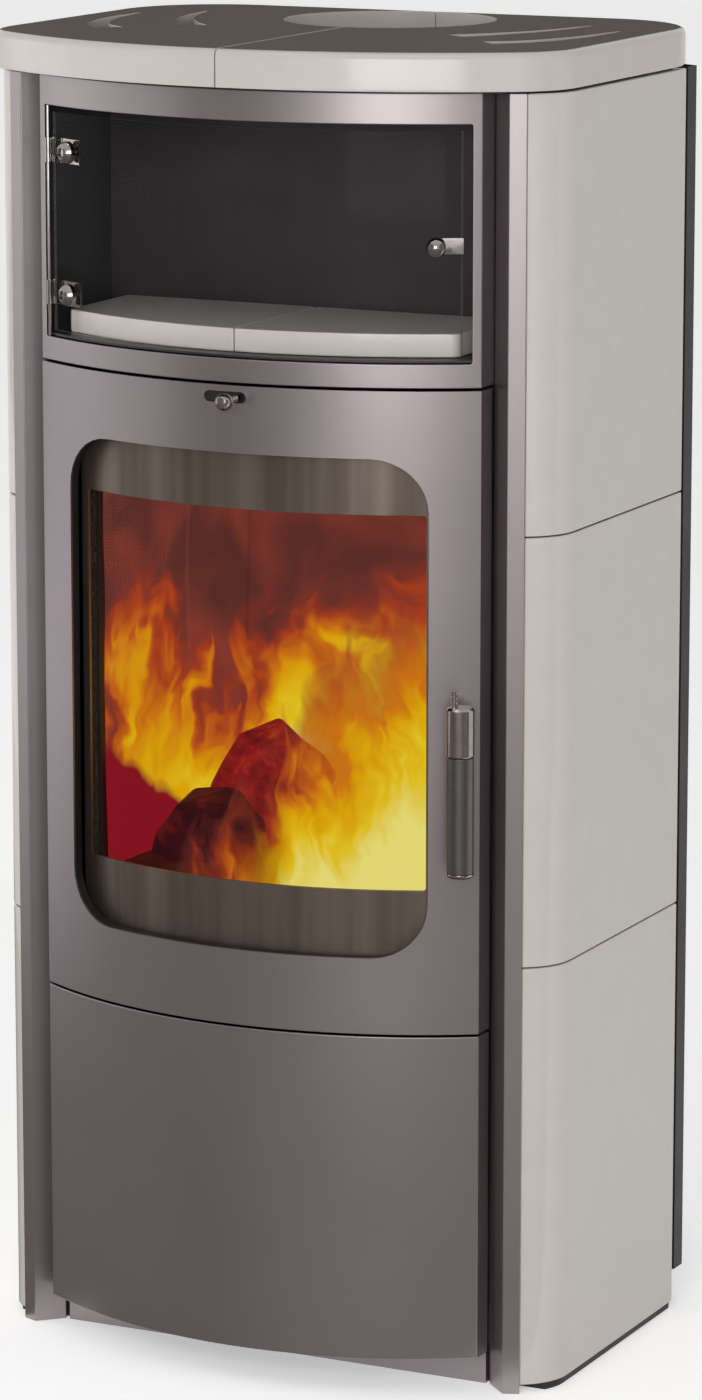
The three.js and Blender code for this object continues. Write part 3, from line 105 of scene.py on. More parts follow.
# ---------- materials ----------
class Look:
    """A material's node tree, with short calls for the nodes used here."""

    def __init__(self, name):
        self.material = bpy.data.materials.new(name)
        self.material.use_nodes = True
        self.tree = self.material.node_tree
        self.shader = self.tree.nodes["Principled BSDF"]
        self.output = self.tree.nodes["Material Output"]
        self.place = self.node("ShaderNodeTexCoord").outputs["Object"]

    def node(self, kind, **inputs):
        made = self.tree.nodes.new(kind)
        for key, value in inputs.items():
            made.inputs[key].default_value = value
        return made

    def link(self, a, b):
        self.tree.links.new(a, b)

    def feed(self, socket, value):
        """The socket takes a value, or follows another node's output."""
        if isinstance(value, bpy.types.NodeSocket):
            self.link(value, socket)
        else:
            socket.default_value = value

    def scaled(self, x, y, z):
        mapping = self.node("ShaderNodeMapping", Scale=(x, y, z))
        self.link(self.place, mapping.inputs["Vector"])
        return mapping.outputs["Vector"]

    def noise(self, scale, detail=4.0, rough=0.55, distortion=0.0, vector=None):
        made = self.node("ShaderNodeTexNoise", Scale=scale, Detail=detail, Roughness=rough,
                         Distortion=distortion)
        self.link(vector or self.place, made.inputs["Vector"])
        return made.outputs["Fac"]

    def ramp(self, value, *stops):
        """The value as a colour; each stop is a place between 0 and 1 and its colour."""
        made = self.node("ShaderNodeValToRGB")
        ramp = made.color_ramp
        while len(ramp.elements) < len(stops):
            ramp.elements.new(0.5)
        for element, (place, colour) in zip(ramp.elements, stops):
            element.position = place
            element.color = colour
        self.link(value, made.inputs["Fac"])
        return made.outputs["Color"]

    def curve(self, value, points):
        """The value as a number; each point is a place between 0 and 1 and its number."""
        return self.ramp(value, *[(place, (grey, grey, grey, 1.0)) for place, grey in points])

    def grey(self, value, low, high, start=0.3, end=0.7):
        """The value spread between two numbers, for roughness and masks."""
        made = self.node("ShaderNodeMapRange")
        made.inputs["From Min"].default_value = start
        made.inputs["From Max"].default_value = end
        made.inputs["To Min"].default_value = low
        made.inputs["To Max"].default_value = high
        self.link(value, made.inputs["Value"])
        return made.outputs["Result"]

    def mix(self, factor, a, b):
        """Colour a where the factor is 0 and colour b where it is 1."""
        made = self.node("ShaderNodeMix")
        made.data_type = "RGBA"
        colour_a, colour_b, result = made.inputs[6], made.inputs[7], made.outputs[2]
        self.feed(made.inputs["Factor"], factor)
        self.feed(colour_a, a)
        self.feed(colour_b, b)
        return result

    def math(self, operation, a, b=0.0, clamp=False):
        made = self.node("ShaderNodeMath")
        made.operation = operation
        made.use_clamp = clamp
        self.feed(made.inputs[0], a)
        self.feed(made.inputs[1], b)
        return made.outputs[0]

    def swing(self, value, size, middle=0.5):
        """What the value differs from its middle by, times a size."""
        return self.math("MULTIPLY", self.math("SUBTRACT", value, middle), size)

    def vector(self, operation, a, b):
        made = self.node("ShaderNodeVectorMath")
        made.operation = operation
        self.feed(made.inputs[0], a)
        self.feed(made.inputs[1], b)
        return made

    def bump(self, *layers):
        """Each layer is a height, a strength and a distance in metres."""
        last = None
        for height, strength, distance in layers:
            made = self.node("ShaderNodeBump", Strength=strength, Distance=distance)
            self.link(height, made.inputs["Height"])
            if last:
                self.link(last, made.inputs["Normal"])
            last = made.outputs["Normal"]
        self.link(last, self.shader.inputs["Normal"])

    def colour(self, socket):
        self.link(socket, self.shader.inputs["Base Color"])

    def roughness(self, socket):
        self.link(socket, self.shader.inputs["Roughness"])

    def set(self, **values):
        for key, value in values.items():
            self.shader.inputs[key.replace("_", " ")].default_value = value

    def cover(self, share, clear, solid):
        """The surface is the clear shader where the share is 0 and the solid one where it is 1."""
        mixed = self.node("ShaderNodeMixShader")
        self.link(share, mixed.inputs[0])
        self.link(clear.outputs[0], mixed.inputs[1])
        self.link(solid.outputs[0], mixed.inputs[2])
        self.link(mixed.outputs[0], self.output.inputs["Surface"])
        self.material.surface_render_method = "BLENDED"


def glaze_look(name, tone, speckle, rough=0.1, level=None, uneven=1.0):
    """Glazed ceramic; level is a painted reflection, the tone of faces that look straight up, uneven how
    wavy the gloss is.
    """
    look = Look(name)
    pool = look.noise(38.0, 4.0, 0.6)
    base = look.mix(look.grey(pool, 0.0, 0.10), linear(tone), linear(speckle))
    # painted reflection: faces that look straight up take the level tone, standing for the dark room that
    # the top mirrors
    if level:
        facing = look.node("ShaderNodeSeparateXYZ")
        look.link(look.node("ShaderNodeTexCoord").outputs["Normal"], facing.inputs[0])
        base = look.mix(look.grey(facing.outputs["Z"], 0.0, 1.0, 0.9, 0.995), base, linear(level))
    dots = look.grey(look.noise(900.0, 1.0, 0.5), 0.0, 0.07, 0.68, 0.74)
    look.colour(look.mix(dots, base, linear(speckle)))
    look.roughness(look.grey(look.noise(22.0, 3.0), rough * (1 - 0.2 * uneven), rough * (1 + 0.4 * uneven)))
    look.bump((look.noise(9.0, 1.0), 0.06 * uneven, 0.002), (look.noise(160.0, 3.0), 0.02 * uneven, 0.0002))
    look.set(IOR=1.5, Coat_Weight=0.35, Coat_Roughness=0.08)
    return look.material


def steel_look(name, light, dark):
    """Satin metallic paint: soft clouds, fine bright flakes and faint upright streaks."""
    look = Look(name)
    streak = look.noise(1.0, 6.0, 0.65, 0.0, look.scaled(260.0, 260.0, 5.0))
    cloud = look.noise(3.0, 3.0, 0.5, 0.3)
    flake = look.noise(2600.0, 1.0, 0.5)
    base = look.ramp(cloud, (0.3, linear(dark)), (0.7, linear(light)))
    base = look.mix(look.grey(flake, 0.0, 0.14, 0.55, 0.75), base, linear("C9C3C3"))
    look.colour(look.mix(look.grey(streak, 0.0, 0.05), base, linear(dark)))
    look.roughness(look.grey(cloud, 0.3264, 0.357))
    look.bump((flake, 0.06, 0.0001))
    look.set(Metallic=0.9)
    return look.material


def band_look(name, light, dark):
    """Steel behind the window, with upright light and dark streaks."""
    look = Look(name)
    upright_streaks = look.noise(1.0, 3.0, 0.5, 0.0, look.scaled(24.0, 24.0, 1.2))
    look.colour(look.ramp(upright_streaks, (0.38, linear(dark)), (0.62, linear(light))))
    look.roughness(look.grey(upright_streaks, 0.46, 0.38))
    look.bump((look.noise(700.0, 2.0), 0.05, 0.0001))
    look.set(Metallic=0.85)
    return look.material


def dark_steel_look(name, light="3A3739", dark="232123", rough=0.5):
    """Heat-resistant dark paint with a fine grain."""
    look = Look(name)
    grain = look.noise(1400.0, 2.0, 0.5)
    cloud = look.noise(9.0, 5.0, 0.6, 0.3)
    look.colour(look.ramp(cloud, (0.3, linear(dark)), (0.72, linear(light))))
    look.roughness(look.grey(cloud, rough * 0.85, rough * 1.2))
    look.bump((grain, 0.18, 0.0002))
    look.set(Metallic=0.45)
    return look.material


def chrome_look(name, tone, rough):
    look = Look(name)
    haze = look.noise(120.0, 4.0, 0.6)
    fine = look.noise(1.0, 3.0, 0.6, 0.0, look.scaled(1500.0, 1500.0, 120.0))
    look.colour(look.mix(look.grey(haze, 0.0, 0.3), linear(tone), linear("6E6A68")))
    look.roughness(look.grey(haze, rough * 0.8, rough * 1.7))
    look.bump((fine, 0.03, 0.00005))
    look.set(Metallic=1.0)
    return look.material


def satin_look(name):
    """The turned grip, with fine rings round it."""
    look = Look(name)
    turned = look.noise(1.0, 4.0, 0.6, 0.0, look.scaled(40.0, 40.0, 2600.0))
    cloud = look.noise(30.0, 3.0)
    look.colour(look.mix(look.grey(turned, 0.0, 0.5), linear("747070"), linear("585454")))
    look.roughness(look.grey(cloud, 0.3, 0.4))
    look.bump((turned, 0.15, 0.0001))
    look.set(Metallic=0.95)
    return look.material


def glass_rim(look):
    """One on the cut edges of a curved pane, zero on its two faces: where the painted edge highlight goes.
    """
    coordinates = look.node("ShaderNodeTexCoord")
    outward = look.vector("SUBTRACT", coordinates.outputs["Object"], (0.0, FRONT_CENTRE_Y, 0.0))
    flat = look.vector("MULTIPLY", outward.outputs[0], (1.0, 1.0, 0.0))
    unit = look.node("ShaderNodeVectorMath")
    unit.operation = "NORMALIZE"
    look.link(flat.outputs[0], unit.inputs[0])
    facing = look.vector("DOT_PRODUCT", coordinates.outputs["Normal"], unit.outputs[0])
    return look.grey(look.math("ABSOLUTE", facing.outputs["Value"]), 1.0, 0.0, 0.4, 0.7)


def glass_look(name, tint, rough, see):
    """Clear glass as a thin coated sheet: see-through, with its own gloss."""
    look = Look(name)
    smear = look.noise(6.0, 4.0, 0.6, 0.6)
    edge_highlight = glass_rim(look)
    face = look.mix(look.grey(smear, 0.0, 0.15), linear("101010"), linear("1A1A1A"))
    # painted highlight: the cut edges are coloured light grey and, further down, made partly solid,
    # standing for light caught in the pane's edge
    look.colour(look.mix(edge_highlight, face, linear("8E9494")))
    look.roughness(look.grey(smear, rough, rough * 2.5))
    look.set(IOR=1.45, Transmission_Weight=0.0)
    # only the side that is met first mirrors, as the sheet is thin
    gloss = look.node("ShaderNodeFresnel", IOR=1.5).outputs[0]
    inward = look.node("ShaderNodeNewGeometry").outputs["Backfacing"]
    outside = look.math("MULTIPLY", gloss, look.math("SUBTRACT", 1.0, inward))
    share = look.math("ADD", outside, 1.0 - see, True)
    share = look.math("MAXIMUM", share, look.math("MULTIPLY", edge_highlight, 0.6))
    look.cover(share, look.node("ShaderNodeBsdfTransparent", Color=linear(tint)), look.shader)
    return look.material


def clay_look(name, light, dark, glow):
    """Fireclay, smoke-stained and glowing faintly in the light of the fire."""
    look = Look(name)
    cloud = look.noise(14.0, 6.0, 0.65, 0.4)
    grain = look.noise(420.0, 3.0, 0.7)
    base = look.ramp(cloud, (0.3, linear(dark)), (0.7, linear(light)))
    look.colour(look.mix(look.grey(grain, 0.0, 0.35), base, linear("2E2420")))
    look.roughness(look.grey(grain, 0.8, 0.98))
    look.bump((grain, 0.5, 0.0008), (cloud, 0.3, 0.002))
    look.link(look.ramp(cloud, (0.3, linear("2A0505")), (0.7, linear("5A1410"))),
              look.shader.inputs["Emission Color"])
    look.set(Emission_Strength=glow)
    return look.material


def iron_look(name):
    look = Look(name)
    grain = look.noise(600.0, 4.0, 0.7)
    look.colour(look.mix(look.grey(grain, 0.0, 0.6), linear("2B2928"), linear("4A3B33")))
    look.roughness(look.grey(grain, 0.55, 0.8))
    look.bump((grain, 0.5, 0.0006))
    look.set(Metallic=0.6)
    return look.material


def rope_look(name):
    look = Look(name)
    wave = look.node("ShaderNodeTexWave", Scale=160.0, Distortion=3.0, Detail=2.0)
    look.link(look.place, wave.inputs["Vector"])
    look.colour(look.mix(wave.outputs["Fac"], linear("2C2A29"), linear("5A5754")))
    look.bump((wave.outputs["Fac"], 0.7, 0.001))
    look.set(Roughness=0.95)
    return look.material


def ember_look(name, dark, mid, hot, strength):
    """Charred wood that glows in patches."""
    look = Look(name)
    bark = look.noise(1.0, 6.0, 0.7, 0.8, look.scaled(55.0, 16.0, 55.0))
    soft = look.noise(26.0, 3.0, 0.5, 0.6)
    look.colour(look.ramp(bark, (0.35, linear(dark)), (0.7, linear(mid))))
    heat = look.math("ADD", look.math("MULTIPLY", bark, 0.6), look.math("MULTIPLY", soft, 0.4))
    look.link(look.ramp(heat, (0.36, linear(dark)), (0.52, linear(mid)), (0.66, linear(hot))),
              look.shader.inputs["Emission Color"])
    look.set(Emission_Strength=strength, Roughness=0.95)
    look.bump((bark, 0.9, 0.004), (look.noise(300.0, 3.0, 0.7), 0.5, 0.0008))
    return look.material


glaze = glaze_look("glaze", "D0C9C3", "A8A098")
# the top's upward faces get a darker level tone: a painted reflection of the dark room
glaze_top = glaze_look("glaze_top", "CDC5BF", "A8A098", rough=0.2, level="989089", uneven=0.08)
# painted light: the shelf's glaze is lighter than the tiles' glaze, making up for the little light that
# reaches into the compartment
glaze_shelf_painted_light = glaze_look("glaze_shelf_painted_light", "DCD4D0", "A8A098", rough=0.3, uneven=0.08)
steel = steel_look("satin_steel", "A69D9F", "9B9294")
band_steel = band_look("frame_steel", "ACA3A7", "857B7E")
inner_steel = dark_steel_look("compartment_steel", "454143", "363335", 0.4)
black_steel = dark_steel_look("black_steel")
chrome = chrome_look("chrome", "A8A39F", 0.07)
satin = satin_look("satin_grip")
window_glass = glass_look("window_glass", "F2F0EA", 0.03, 0.985)
clear_glass = glass_look("clear_glass", "FFFFFF", 0.02, 0.99)
clay = clay_look("fireclay", "6A3A30", "3A1A18", 0.55)
iron = iron_look("cast_iron")
rope = rope_look("rope")
ember = ember_look("ember_dark", "1C040C", "3E0614", "7A1A16", 0.7)
ember_red = ember_look("ember_red", "4E0A12", "86151C", "B8401C", 0.85)

# ---------- dressed copies of the solids: rounded edges and true curved shading ----------
MERGE_DISTANCE = 0.000004
FLAT_TURN = 0.4  # edges that turn less than this are taken out
ROUND_TURN = 32  # edges that turn more than this are rounded
CURVE_RADIUS_FROM = 0.34  # faces of the curved front are no nearer to its axis
CURVE_MATCH = 0.9985  # cosine of how far such a face may turn from the true curve
UPRIGHT = 0.01  # largest vertical part of an upright face's normal


def settle(piece):
    """The piece's modifiers worked into its mesh."""
    bpy.context.view_layer.update()
    solid = bpy.data.meshes.new_from_object(piece.evaluated_get(bpy.context.evaluated_depsgraph_get()))
    piece.modifiers.clear()
    piece.data = solid


def rounded_copy(node, edge, segments):
    """A copy of the node's solid with its edges rounded."""
    made = bmesh.new()
    made.from_mesh(nodes[node].data)
    bmesh.ops.remove_doubles(made, verts=made.verts, dist=MERGE_DISTANCE)
    bmesh.ops.dissolve_limit(made, angle_limit=math.radians(FLAT_TURN), verts=made.verts, edges=made.edges)
    mesh = bpy.data.meshes.new(node + "_dressed")
    made.to_mesh(mesh)
    made.free()
    piece = bpy.data.objects.new(node + "_dressed", mesh)
    scene.collection.objects.link(piece)
    if edge:
        bevel = piece.modifiers.new("edges", "BEVEL")
        bevel.width = edge
        bevel.segments = segments
        bevel.limit_method = "ANGLE"
        bevel.angle_limit = math.radians(ROUND_TURN)
        bevel.use_clamp_overlap = True
    settle(piece)
    return piece


def shade(piece, angle):
    """Smooth shading in which the large flat faces stay flat."""
    piece.data.shade_smooth()
    piece.data.set_sharp_from_angle(angle=math.radians(angle))
    weighted = piece.modifiers.new("flat_faces", "WEIGHTED_NORMAL")
    weighted.mode = "FACE_AREA"
    weighted.weight = 50
    weighted.keep_sharp = True
    settle(piece)


def shade_radially(piece):
    """The faces on the curved front shaded as one true curve about its axis."""
    mesh = piece.data
    normals = [Vector(n.vector) for n in mesh.corner_normals]
    for face in mesh.polygons:
        out = Vector((face.center.x, face.center.y - FRONT_CENTRE_Y, 0.0))
        if out.length < CURVE_RADIUS_FROM or abs(face.normal.z) > UPRIGHT:
            continue
        side = face.normal.dot(out.normalized())
        if abs(side) < CURVE_MATCH:
            continue
        for corner in face.loop_indices:
            point = mesh.vertices[mesh.loops[corner].vertex_index].co
            ray = Vector((point.x, point.y - FRONT_CENTRE_Y, 0.0)).normalized()
            normals[corner] = ray if side > 0 else -ray
    mesh.normals_split_custom_set(normals)


def dress(node, body, material, edge=0.0, segments=2, radial=False, angle=30):
    """A dressed copy takes the node's place: edge is its rounding, angle what stays a sharp edge."""
    piece = rounded_copy(node, edge, segments)
    shade(piece, angle)
    if radial:
        shade_radially(piece)
    piece.data.materials.clear()
    piece.data.materials.append(material)
    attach(piece, body)
    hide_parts(node)


def paint(node, material):
    """The node's own solid is shown, with a material."""
    mesh = nodes[node].data
    mesh.materials.clear()
    mesh.materials.append(material)


# ceramics
for side in ("left", "right"):
    for row in ("lower", "middle", "upper"):
        dress(f"tile_{row}_{side}", "stove", glaze, edge=TILE_EDGE, segments=3)
    dress(f"ceramic_top_{side}", "stove", glaze_top, edge=TOP_EDGE, angle=40)
    dress(f"shelf_{side}", "stove", glaze_shelf_painted_light)

# outer steel
for side in ("left", "right"):
    dress(f"front_post_{side}", "stove", steel, edge=POST_EDGE, segments=3)
for node, body in (
    ("upper_frame", "stove"),
    ("fire_door_panel", "fire_door"),
    ("lower_door_panel", "lower_door"),
):
    dress(node, body, steel, edge=PANEL_EDGE, segments=3, radial=True)
dress("plinth", "stove", steel, edge=FINE_EDGE)
dress("rear_panel", "stove", black_steel, edge=REAR_EDGE)

# warming compartment
dress("warming_box", "stove", inner_steel)
dress("warming_glass", "warming_door", clear_glass, edge=FINE_EDGE, segments=1, radial=True)
for node in ("glass_clamp_lower", "glass_clamp_upper", "warming_knob"):
    dress(node, "warming_door", chrome, edge=FINE_EDGE)
dress("glass_hinge_rod", "stove", chrome)

# fire door
dress("door_glass", "fire_door", window_glass, radial=True)
dress("glass_collar", "fire_door", black_steel, radial=True)
dress("door_frame", "fire_door", band_steel, edge=FINE_EDGE, radial=True)
paint("door_seal", rope)
dress("air_knob", "air_control", chrome, edge=FINE_EDGE, angle=60)
for node in ("handle_shaft", "handle_sleeve", "handle_ring"):
    dress(node, "door_handle", chrome, edge=HANDLE_EDGE)
dress("handle_grip", "door_handle", satin, edge=HANDLE_EDGE)

# logs
dress("log_front", "stove", ember, edge=LOG_EDGE, segments=4)
dress("log_rear", "stove", ember_red, edge=LOG_EDGE, segments=4)

# dark steel inside and underneath
for node in (
    "base_plate", "side_wall_left", "side_wall_right", "top_sheet", "air_slide", "log_box",
    "firebox_shell", "firebox_front", "ash_pan", "flue_collar",
):
    paint(node, black_steel)
for door in ("fire", "lower"):
    for kind in ("hinge", "pin"):
        for place in ("lower", "upper"):
            paint(f"{door}_door_{kind}_{place}", black_steel)

# the rest of the firebox
for node in ("grate", "latch_keeper"):
    paint(node, iron)
for node in ("lining_side_left", "lining_side_right", "lining_back", "lining_floor", "baffle_plate"):
    paint(node, clay)

# ---------- fire ----------
FLAME_COLOURS = (
    (0.0, "7A413D"), (0.13, "93392E"), (0.27, "BC4A24"), (0.42, "DC7E18"),
    (0.56, "EDB50B"), (0.72, "F4D226"), (0.95, "F8F088"),
)
FLAME_GLOW = 1.08
SEAM_HALF = 0.003  # half a seam's width, as a share of the curtain's length


def flame_pattern(look, along, up, seed, turns):
    """A place in the noise that drifts sideways, more towards the tips, and a little up and down."""
    reach = look.math("ADD", look.math("MULTIPLY", up, 2.0), 1.3)
    sway = look.math("MULTIPLY", look.math("SUBTRACT", look.noise(8.5, 3.0, 0.5, 0.8), 0.5), reach)
    lift = look.swing(look.noise(13.0, 2.0, 0.5, 0.5), 0.6)
    joined = look.node("ShaderNodeCombineXYZ")
    look.link(look.math("ADD", look.math("MULTIPLY", along, turns), sway), joined.inputs[0])
    look.link(look.math("ADD", look.math("MULTIPLY", up, 2.0), lift), joined.inputs[1])
    joined.inputs[2].default_value = seed
    return joined.outputs[0]


def flame_heat(look, along, up, pattern, heat, fade):
    """How hot the fire is: falling off upwards, torn by broad and fine noise and by dark threads."""
    broad = look.noise(1.0, 2.0, 0.5, 0.6, pattern)
    fine = look.noise(2.1, 3.0, 0.55, 0.9, pattern)
    thread = look.math("ABSOLUTE", look.math("SUBTRACT", look.noise(1.6, 2.0, 0.5, 0.7, pattern), 0.5))
    level = look.math("SUBTRACT", look.curve(along, heat), look.math("MULTIPLY", up, fade))
    level = look.math("ADD", level, look.swing(broad, 1.15))
    level = look.math("ADD", level, look.swing(fine, 0.4))
    return look.math("SUBTRACT", level, look.swing(thread, 0.6, 0.07))


def flame_look(name, seed, turns, heat, fade, haze=0.0, bed=None, start=0.001, stop=0.001, seams=()):
    """Flames on a curtain, by the shares of its length (along) and of its height (up).

    turns: how often the pattern changes along the curtain
    heat: points of a curve, how hot the foot is along the curtain
    fade: how much of the heat is lost on the way up
    haze: how much the glowing haze above the flames covers; its glow is painted firelight
    bed: points of a curve, the top of the dull red bed along the curtain
    start, stop: the shares of the length over which the two ends fade
    seams: place and tone of each seam of the lining that shows through
    """
    look = Look(name)
    shares = look.node("ShaderNodeSeparateXYZ")
    look.link(look.node("ShaderNodeTexCoord").outputs["UV"], shares.inputs[0])
    along, up = shares.outputs["X"], shares.outputs["Y"]
    level = flame_heat(look, along, up, flame_pattern(look, along, up, seed, turns), heat, fade)
    colour = look.ramp(level, *[(place, linear(tone)) for place, tone in FLAME_COLOURS])
    cloud = look.grey(look.noise(11.0, 3.0, 0.5, 0.6), 0.0, 1.0, 0.38, 0.66)
    # painted light: the reddish smoke colour glows where the heat is low, standing for firelight on the
    # smoke and on the lining behind
    smoke = look.mix(cloud, linear("6C3A36"), linear("A34A40"))
    colour = look.mix(look.grey(level, 1.0, 0.0, 0.0, 0.24), colour, smoke)
    for place, tone in seams:
        before, after = place - SEAM_HALF, place + SEAM_HALF
        line = look.curve(along, [(0.0, 0.0), (before, 0.0), (place, 1.0), (after, 0.0)])
        line = look.math("MULTIPLY", line, look.grey(level, 0.5, 0.0, 0.1, 0.3))
        colour = look.mix(line, colour, linear(tone))
    share = look.grey(level, haze, 1.0, -0.02, 0.42)
    if bed:
        top = look.math("ADD", look.curve(along, bed), look.swing(look.noise(16.0, 3.0, 0.6), 0.10))
        inside = look.grey(look.math("SUBTRACT", top, up), 0.0, 1.0, -0.012, 0.02)
        colour = look.mix(inside, colour, linear("901526"))
        share = look.math("MAXIMUM", share, look.math("MULTIPLY", inside, 0.93))
    share = look.math("MULTIPLY", share, look.grey(along, 0.0, 1.0, 0.0, start))
    share = look.math("MULTIPLY", share, look.grey(along, 1.0, 0.0, 1.0 - stop, 1.0))
    glow = look.node("ShaderNodeEmission", Strength=FLAME_GLOW)
    look.link(colour, glow.inputs["Color"])
    look.cover(share, look.node("ShaderNodeBsdfTransparent"), glow)
    look.tree.nodes.remove(look.shader)
    return look.material


def points_along(path, count):
    """A path in plan as evenly spaced points, count steps long."""
    lengths = [0.0]
    for a, b in zip(path, path[1:]):
        lengths.append(lengths[-1] + math.dist(a, b))
    points = []
    leg = 0
    for i in range(count + 1):
        want = i / count * lengths[-1]
        while leg < len(path) - 2 and want > lengths[leg + 1]:
            leg += 1
        share = (want - lengths[leg]) / (lengths[leg + 1] - lengths[leg])
        points.append([a + (b - a) * share for a, b in zip(path[leg], path[leg + 1])])
    return points


def flame_curtain(name, path, low, high, sway, seed, material):
    """A standing curtain along a path in plan, waving a little across itself."""
    across, up = 120, 30
    feet = points_along(path, across)
    made = bmesh.new()
    grid = made.loops.layers.uv.new("UVMap")
    rows = []
    for j in range(up + 1):
        z = low + (high - low) * j / up
        row = []
        for x, y in feet:
            wave = sway * noise.noise(Vector((x * 22 + seed, y * 22, z * 9)))
            row.append(made.verts.new((x + wave, y + wave, z)))
        rows.append(row)
    for j in range(up):
        for i in range(across):
            face = made.faces.new((rows[j][i], rows[j][i + 1], rows[j + 1][i + 1], rows[j + 1][i]))
            for loop, (di, dj) in zip(face.loops, ((0, 0), (1, 0), (1, 1), (0, 1))):
                loop[grid].uv = ((i + di) / across, (j + dj) / up)
    mesh = bpy.data.meshes.new(name)
    made.to_mesh(mesh)
    made.free()
    mesh.shade_smooth()
    piece = bpy.data.objects.new(name, mesh)
    scene.collection.objects.link(piece)
    mesh.materials.append(material)
    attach(piece, "stove")


# along the linings: left side, back, right side
flame_curtain(
    "flames_rear",
    [(-0.164, -0.134), (-FLAME_SIDE_X, FLAME_FRONT_Y), (-FLAME_SIDE_X, FLAME_BACK_Y),
     (FLAME_SIDE_X, FLAME_BACK_Y), (FLAME_SIDE_X, FLAME_FRONT_Y)],
    low=FIREBED_Z + 0.002, high=FLAME_TOP, sway=0.003, seed=3.0,
    material=flame_look(
        "flames_rear", seed=1.7, turns=9.0,
        heat=[(0.0, 0.80), (0.15, 0.86), (0.30, 0.70), (0.42, 0.92), (0.6, 0.96), (1.0, 0.80)],
        fade=1.22, haze=0.70,
        bed=[(0.0, 0.34), (0.045, 0.27), (0.10, 0.185), (0.16, 0.125), (0.20, 0.07), (0.225, -0.1)],
        seams=[(0.19, "A8625A"), (0.337, "4A1C18")],
    ),
)
# a thin one in front of the logs
flame_curtain(
    "flames_low",
    [(-0.150, -0.100), (-0.090, -0.109), (0.010, -0.124)],
    low=FIREBED_Z - 0.012, high=0.66, sway=0.002, seed=5.0,
    material=flame_look(
        "flames_low", seed=4.4, turns=3.2,
        heat=[(0.0, 0.02), (0.3, 0.14), (0.6, 0.38), (0.8, 0.55), (1.0, 0.60)],
        fade=0.95, start=0.12, stop=0.35,
    ),
)
# in front of the firebed, on the right
flame_curtain(
    "flames_front",
    [(-0.044, -0.096), (-0.010, -0.108), (0.06, -0.118), (0.162, -0.104)],
    low=FIREBED_Z - 0.016, high=FLAME_TOP, sway=0.003, seed=7.0,
    material=flame_look(
        "flames_front", seed=6.2, turns=3.4,
        heat=[(0.0, 0.55), (0.2, 0.85), (0.45, 1.18), (0.8, 1.36), (1.0, 1.36)],
        fade=1.95, start=0.3,
    ),
)

# ---------- floor and screens ----------
FLOOR_HALF = 40.0
FLOOR_DROP = 0.0002  # the floor lies this far under the stove
FLOOR_GLOW = 0.4
BAND_LIFT = 0.002  # the mirrored bands of floor lie this far above it


def seen_rays(tree):
    """One for what the camera sees, also in a mirror or through glass, and zero for what only lights."""
    path = tree.nodes.new("ShaderNodeLightPath")
    seen = path.outputs["Is Camera Ray"]
    for kind in ("Is Glossy Ray", "Is Transmission Ray"):
        either = tree.nodes.new("ShaderNodeMath")
        either.operation = "MAXIMUM"
        tree.links.new(seen, either.inputs[0])
        tree.links.new(path.outputs[kind], either.inputs[1])
        seen = either.outputs[0]
    return seen


def stage_plane(name, corners, colour, glow):
    """A plain surface of the stage; its glow is seen but lights nothing."""
    mesh = bpy.data.meshes.new(name)
    mesh.from_pydata(corners, [], [(0, 1, 2, 3)])
    made = bpy.data.objects.new(name, mesh)
    scene.collection.objects.link(made)
    look = Look(name)
    look.colour(look.mix(look.grey(look.noise(3.0), 0.0, 0.04), linear(colour), linear("B0ACA8")))
    look.set(Roughness=0.9)
    if glow:
        look.set(Emission_Color=linear("FFFFFF"))
        strength = look.math("MULTIPLY", seen_rays(look.tree), glow)
        look.link(strength, look.shader.inputs["Emission Strength"])
    mesh.materials.append(look.material)
    return made


def level_plane(name, x0, x1, y0, y1, z, colour, glow):
    return stage_plane(name, [(x0, y0, z), (x1, y0, z), (x1, y1, z), (x0, y1, z)], colour, glow)


def upright_plane(name, azimuth, distance, width, low, high, colour, glow):
    """A screen that faces the stove; azimuth 0 is in front of it and 90 on its right."""
    turn = math.radians(azimuth)
    x, y = distance * math.sin(turn), -distance * math.cos(turn)
    dx, dy = 0.5 * width * math.cos(turn), 0.5 * width * math.sin(turn)
    corners = [(x - dx, y - dy, low), (x + dx, y + dy, low), (x + dx, y + dy, high), (x - dx, y - dy, high)]
    return stage_plane(name, corners, colour, glow)


def mirrored_only(piece):
    """The piece is seen by metal and glass, and by nothing else."""
    piece.visible_camera = False
    piece.visible_diffuse = False
    piece.visible_shadow = False


level_plane("floor", -FLOOR_HALF, FLOOR_HALF, -FLOOR_HALF, FLOOR_HALF, FLOOR_Z - FLOOR_DROP,
            "F4F3F2", FLOOR_GLOW)

# screens of their own grey: azimuth, distance, width, lower and upper edge, tone, glow
for name, azimuth, distance, width, low, high, tone, glow in (
    ("card_front", -24, 3.4, 2.0, 0.0, 3.2, "A79F9F", 0.0),
    ("card_back", -154, 2.6, 1.5, 1.22, 3.8, "38332F", 0.0),
    ("card_side", 76, 2.6, 1.8, 0.0, 2.6, "B4ACAC", 0.0),
    ("card_overhead", 0, 0.9, 1.5, 2.9, 3.3, "FFFFFF", 7.0),
    ("card_camera", 28, 5.6, 2.0, 0.3, 3.6, "4A4545", 0.0),
):
    mirrored_only(upright_plane(name, azimuth, distance, width, low, high, tone, glow))

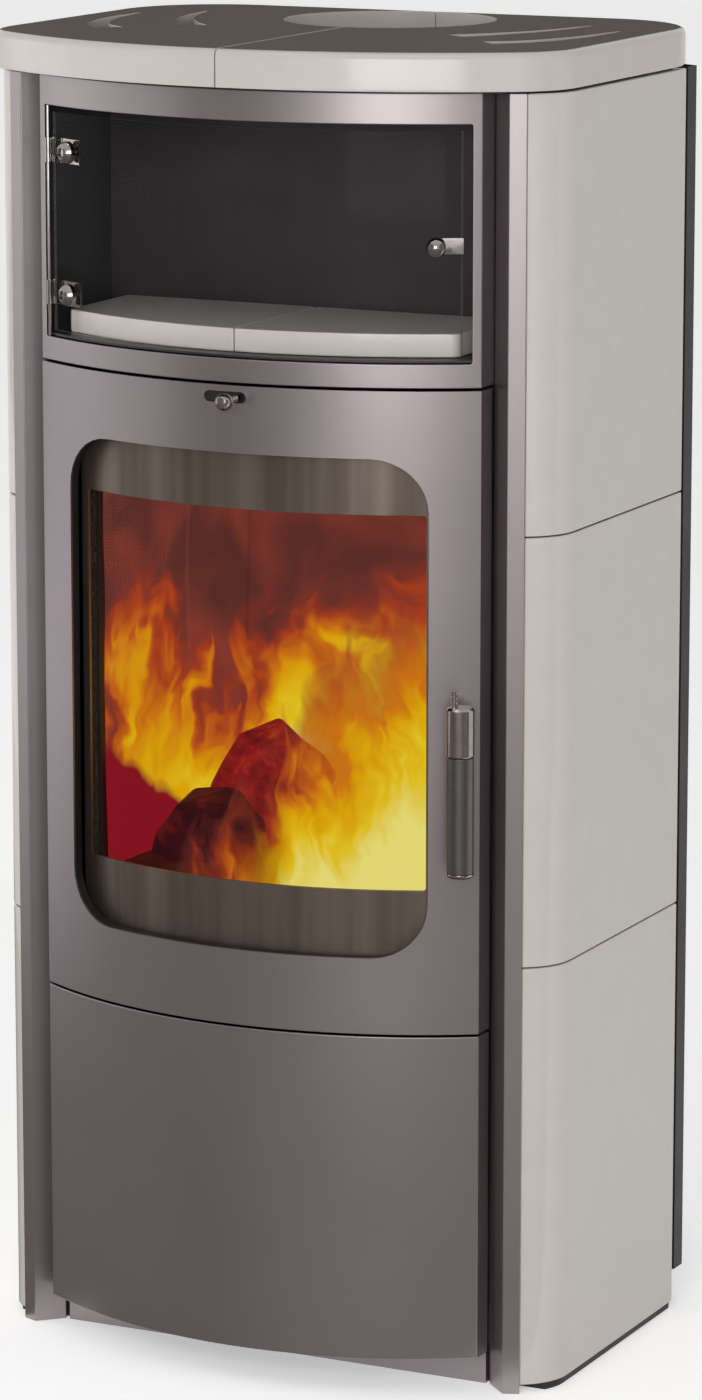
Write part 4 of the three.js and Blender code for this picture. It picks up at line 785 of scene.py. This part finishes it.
# bands of floor that the curved steel mirrors, from the foot of the stove outwards
for name, x0, x1, y0, y1, tone, glow in (
    ("card_floor_front", -3.0, 4.0, -3.2, -0.19, "8C8481", 0.0),
    ("card_floor_front_far", -3.0, 4.0, -8.5, -3.2, "A8A2A5", 0.04),
    ("card_floor_left", -1.6, -0.255, -0.19, 1.4, "8F8886", 0.0),
    ("card_floor_left_mid", -2.6, -1.6, -0.8, 1.6, "BDBBBE", 0.25),
    ("card_floor_left_far", -5.6, -2.6, -1.2, 2.0, "D0D0D4", 0.62),
    ("card_floor_left_end", -9.5, -5.6, -1.6, 2.6, "98989C", 0.1),
):
    mirrored_only(level_plane(name, x0, x1, y0, y1, BAND_LIFT, tone, glow))

# ---------- world and lamps ----------
SKY_LIGHT = 0.45  # what the white sky lights with
SKY_SEEN = 1.0  # how bright it is where it is seen

world = bpy.data.worlds.new("world")
scene.world = world
world.use_nodes = True
sky = world.node_tree
lighting = sky.nodes["Background"]
lighting.inputs["Color"].default_value = (1.0, 1.0, 1.0, 1.0)
lighting.inputs["Strength"].default_value = SKY_LIGHT
seen_sky = sky.nodes.new("ShaderNodeBackground")
seen_sky.inputs["Strength"].default_value = SKY_SEEN
both = sky.nodes.new("ShaderNodeMixShader")
sky.links.new(seen_rays(sky), both.inputs[0])
sky.links.new(lighting.outputs[0], both.inputs[1])
sky.links.new(seen_sky.outputs[0], both.inputs[2])
sky.links.new(both.outputs[0], sky.nodes["World Output"].inputs["Surface"])


def lamp(name, place, target, size, power, mirrored):
    """An area lamp; one that isn't mirrored lights the stove and stays out of its reflections."""
    data = bpy.data.lights.new(name, "AREA")
    data.shape = "RECTANGLE"
    data.size, data.size_y = size
    data.energy = power
    made = bpy.data.objects.new(name, data)
    made.location = place
    aim = Vector(target) - Vector(place)
    made.rotation_euler = aim.to_track_quat("-Z", "Y").to_euler()
    scene.collection.objects.link(made)
    made.visible_glossy = mirrored


LEFT_LAMP = {"place": (-3.2, -0.6, 1.25), "target": (0, 0, 0.9), "size": (1.4, 1.3)}
FRONT_LAMP = {"place": (1.3, -3.6, 1.5), "target": (0, 0, 0.8), "size": (1.8, 1.8)}
lamp("left_box", **LEFT_LAMP, power=4, mirrored=True)
lamp("left_fill", **LEFT_LAMP, power=20, mirrored=False)
lamp("front_box", **FRONT_LAMP, power=42, mirrored=True)
lamp("front_fill", **FRONT_LAMP, power=36, mirrored=False)
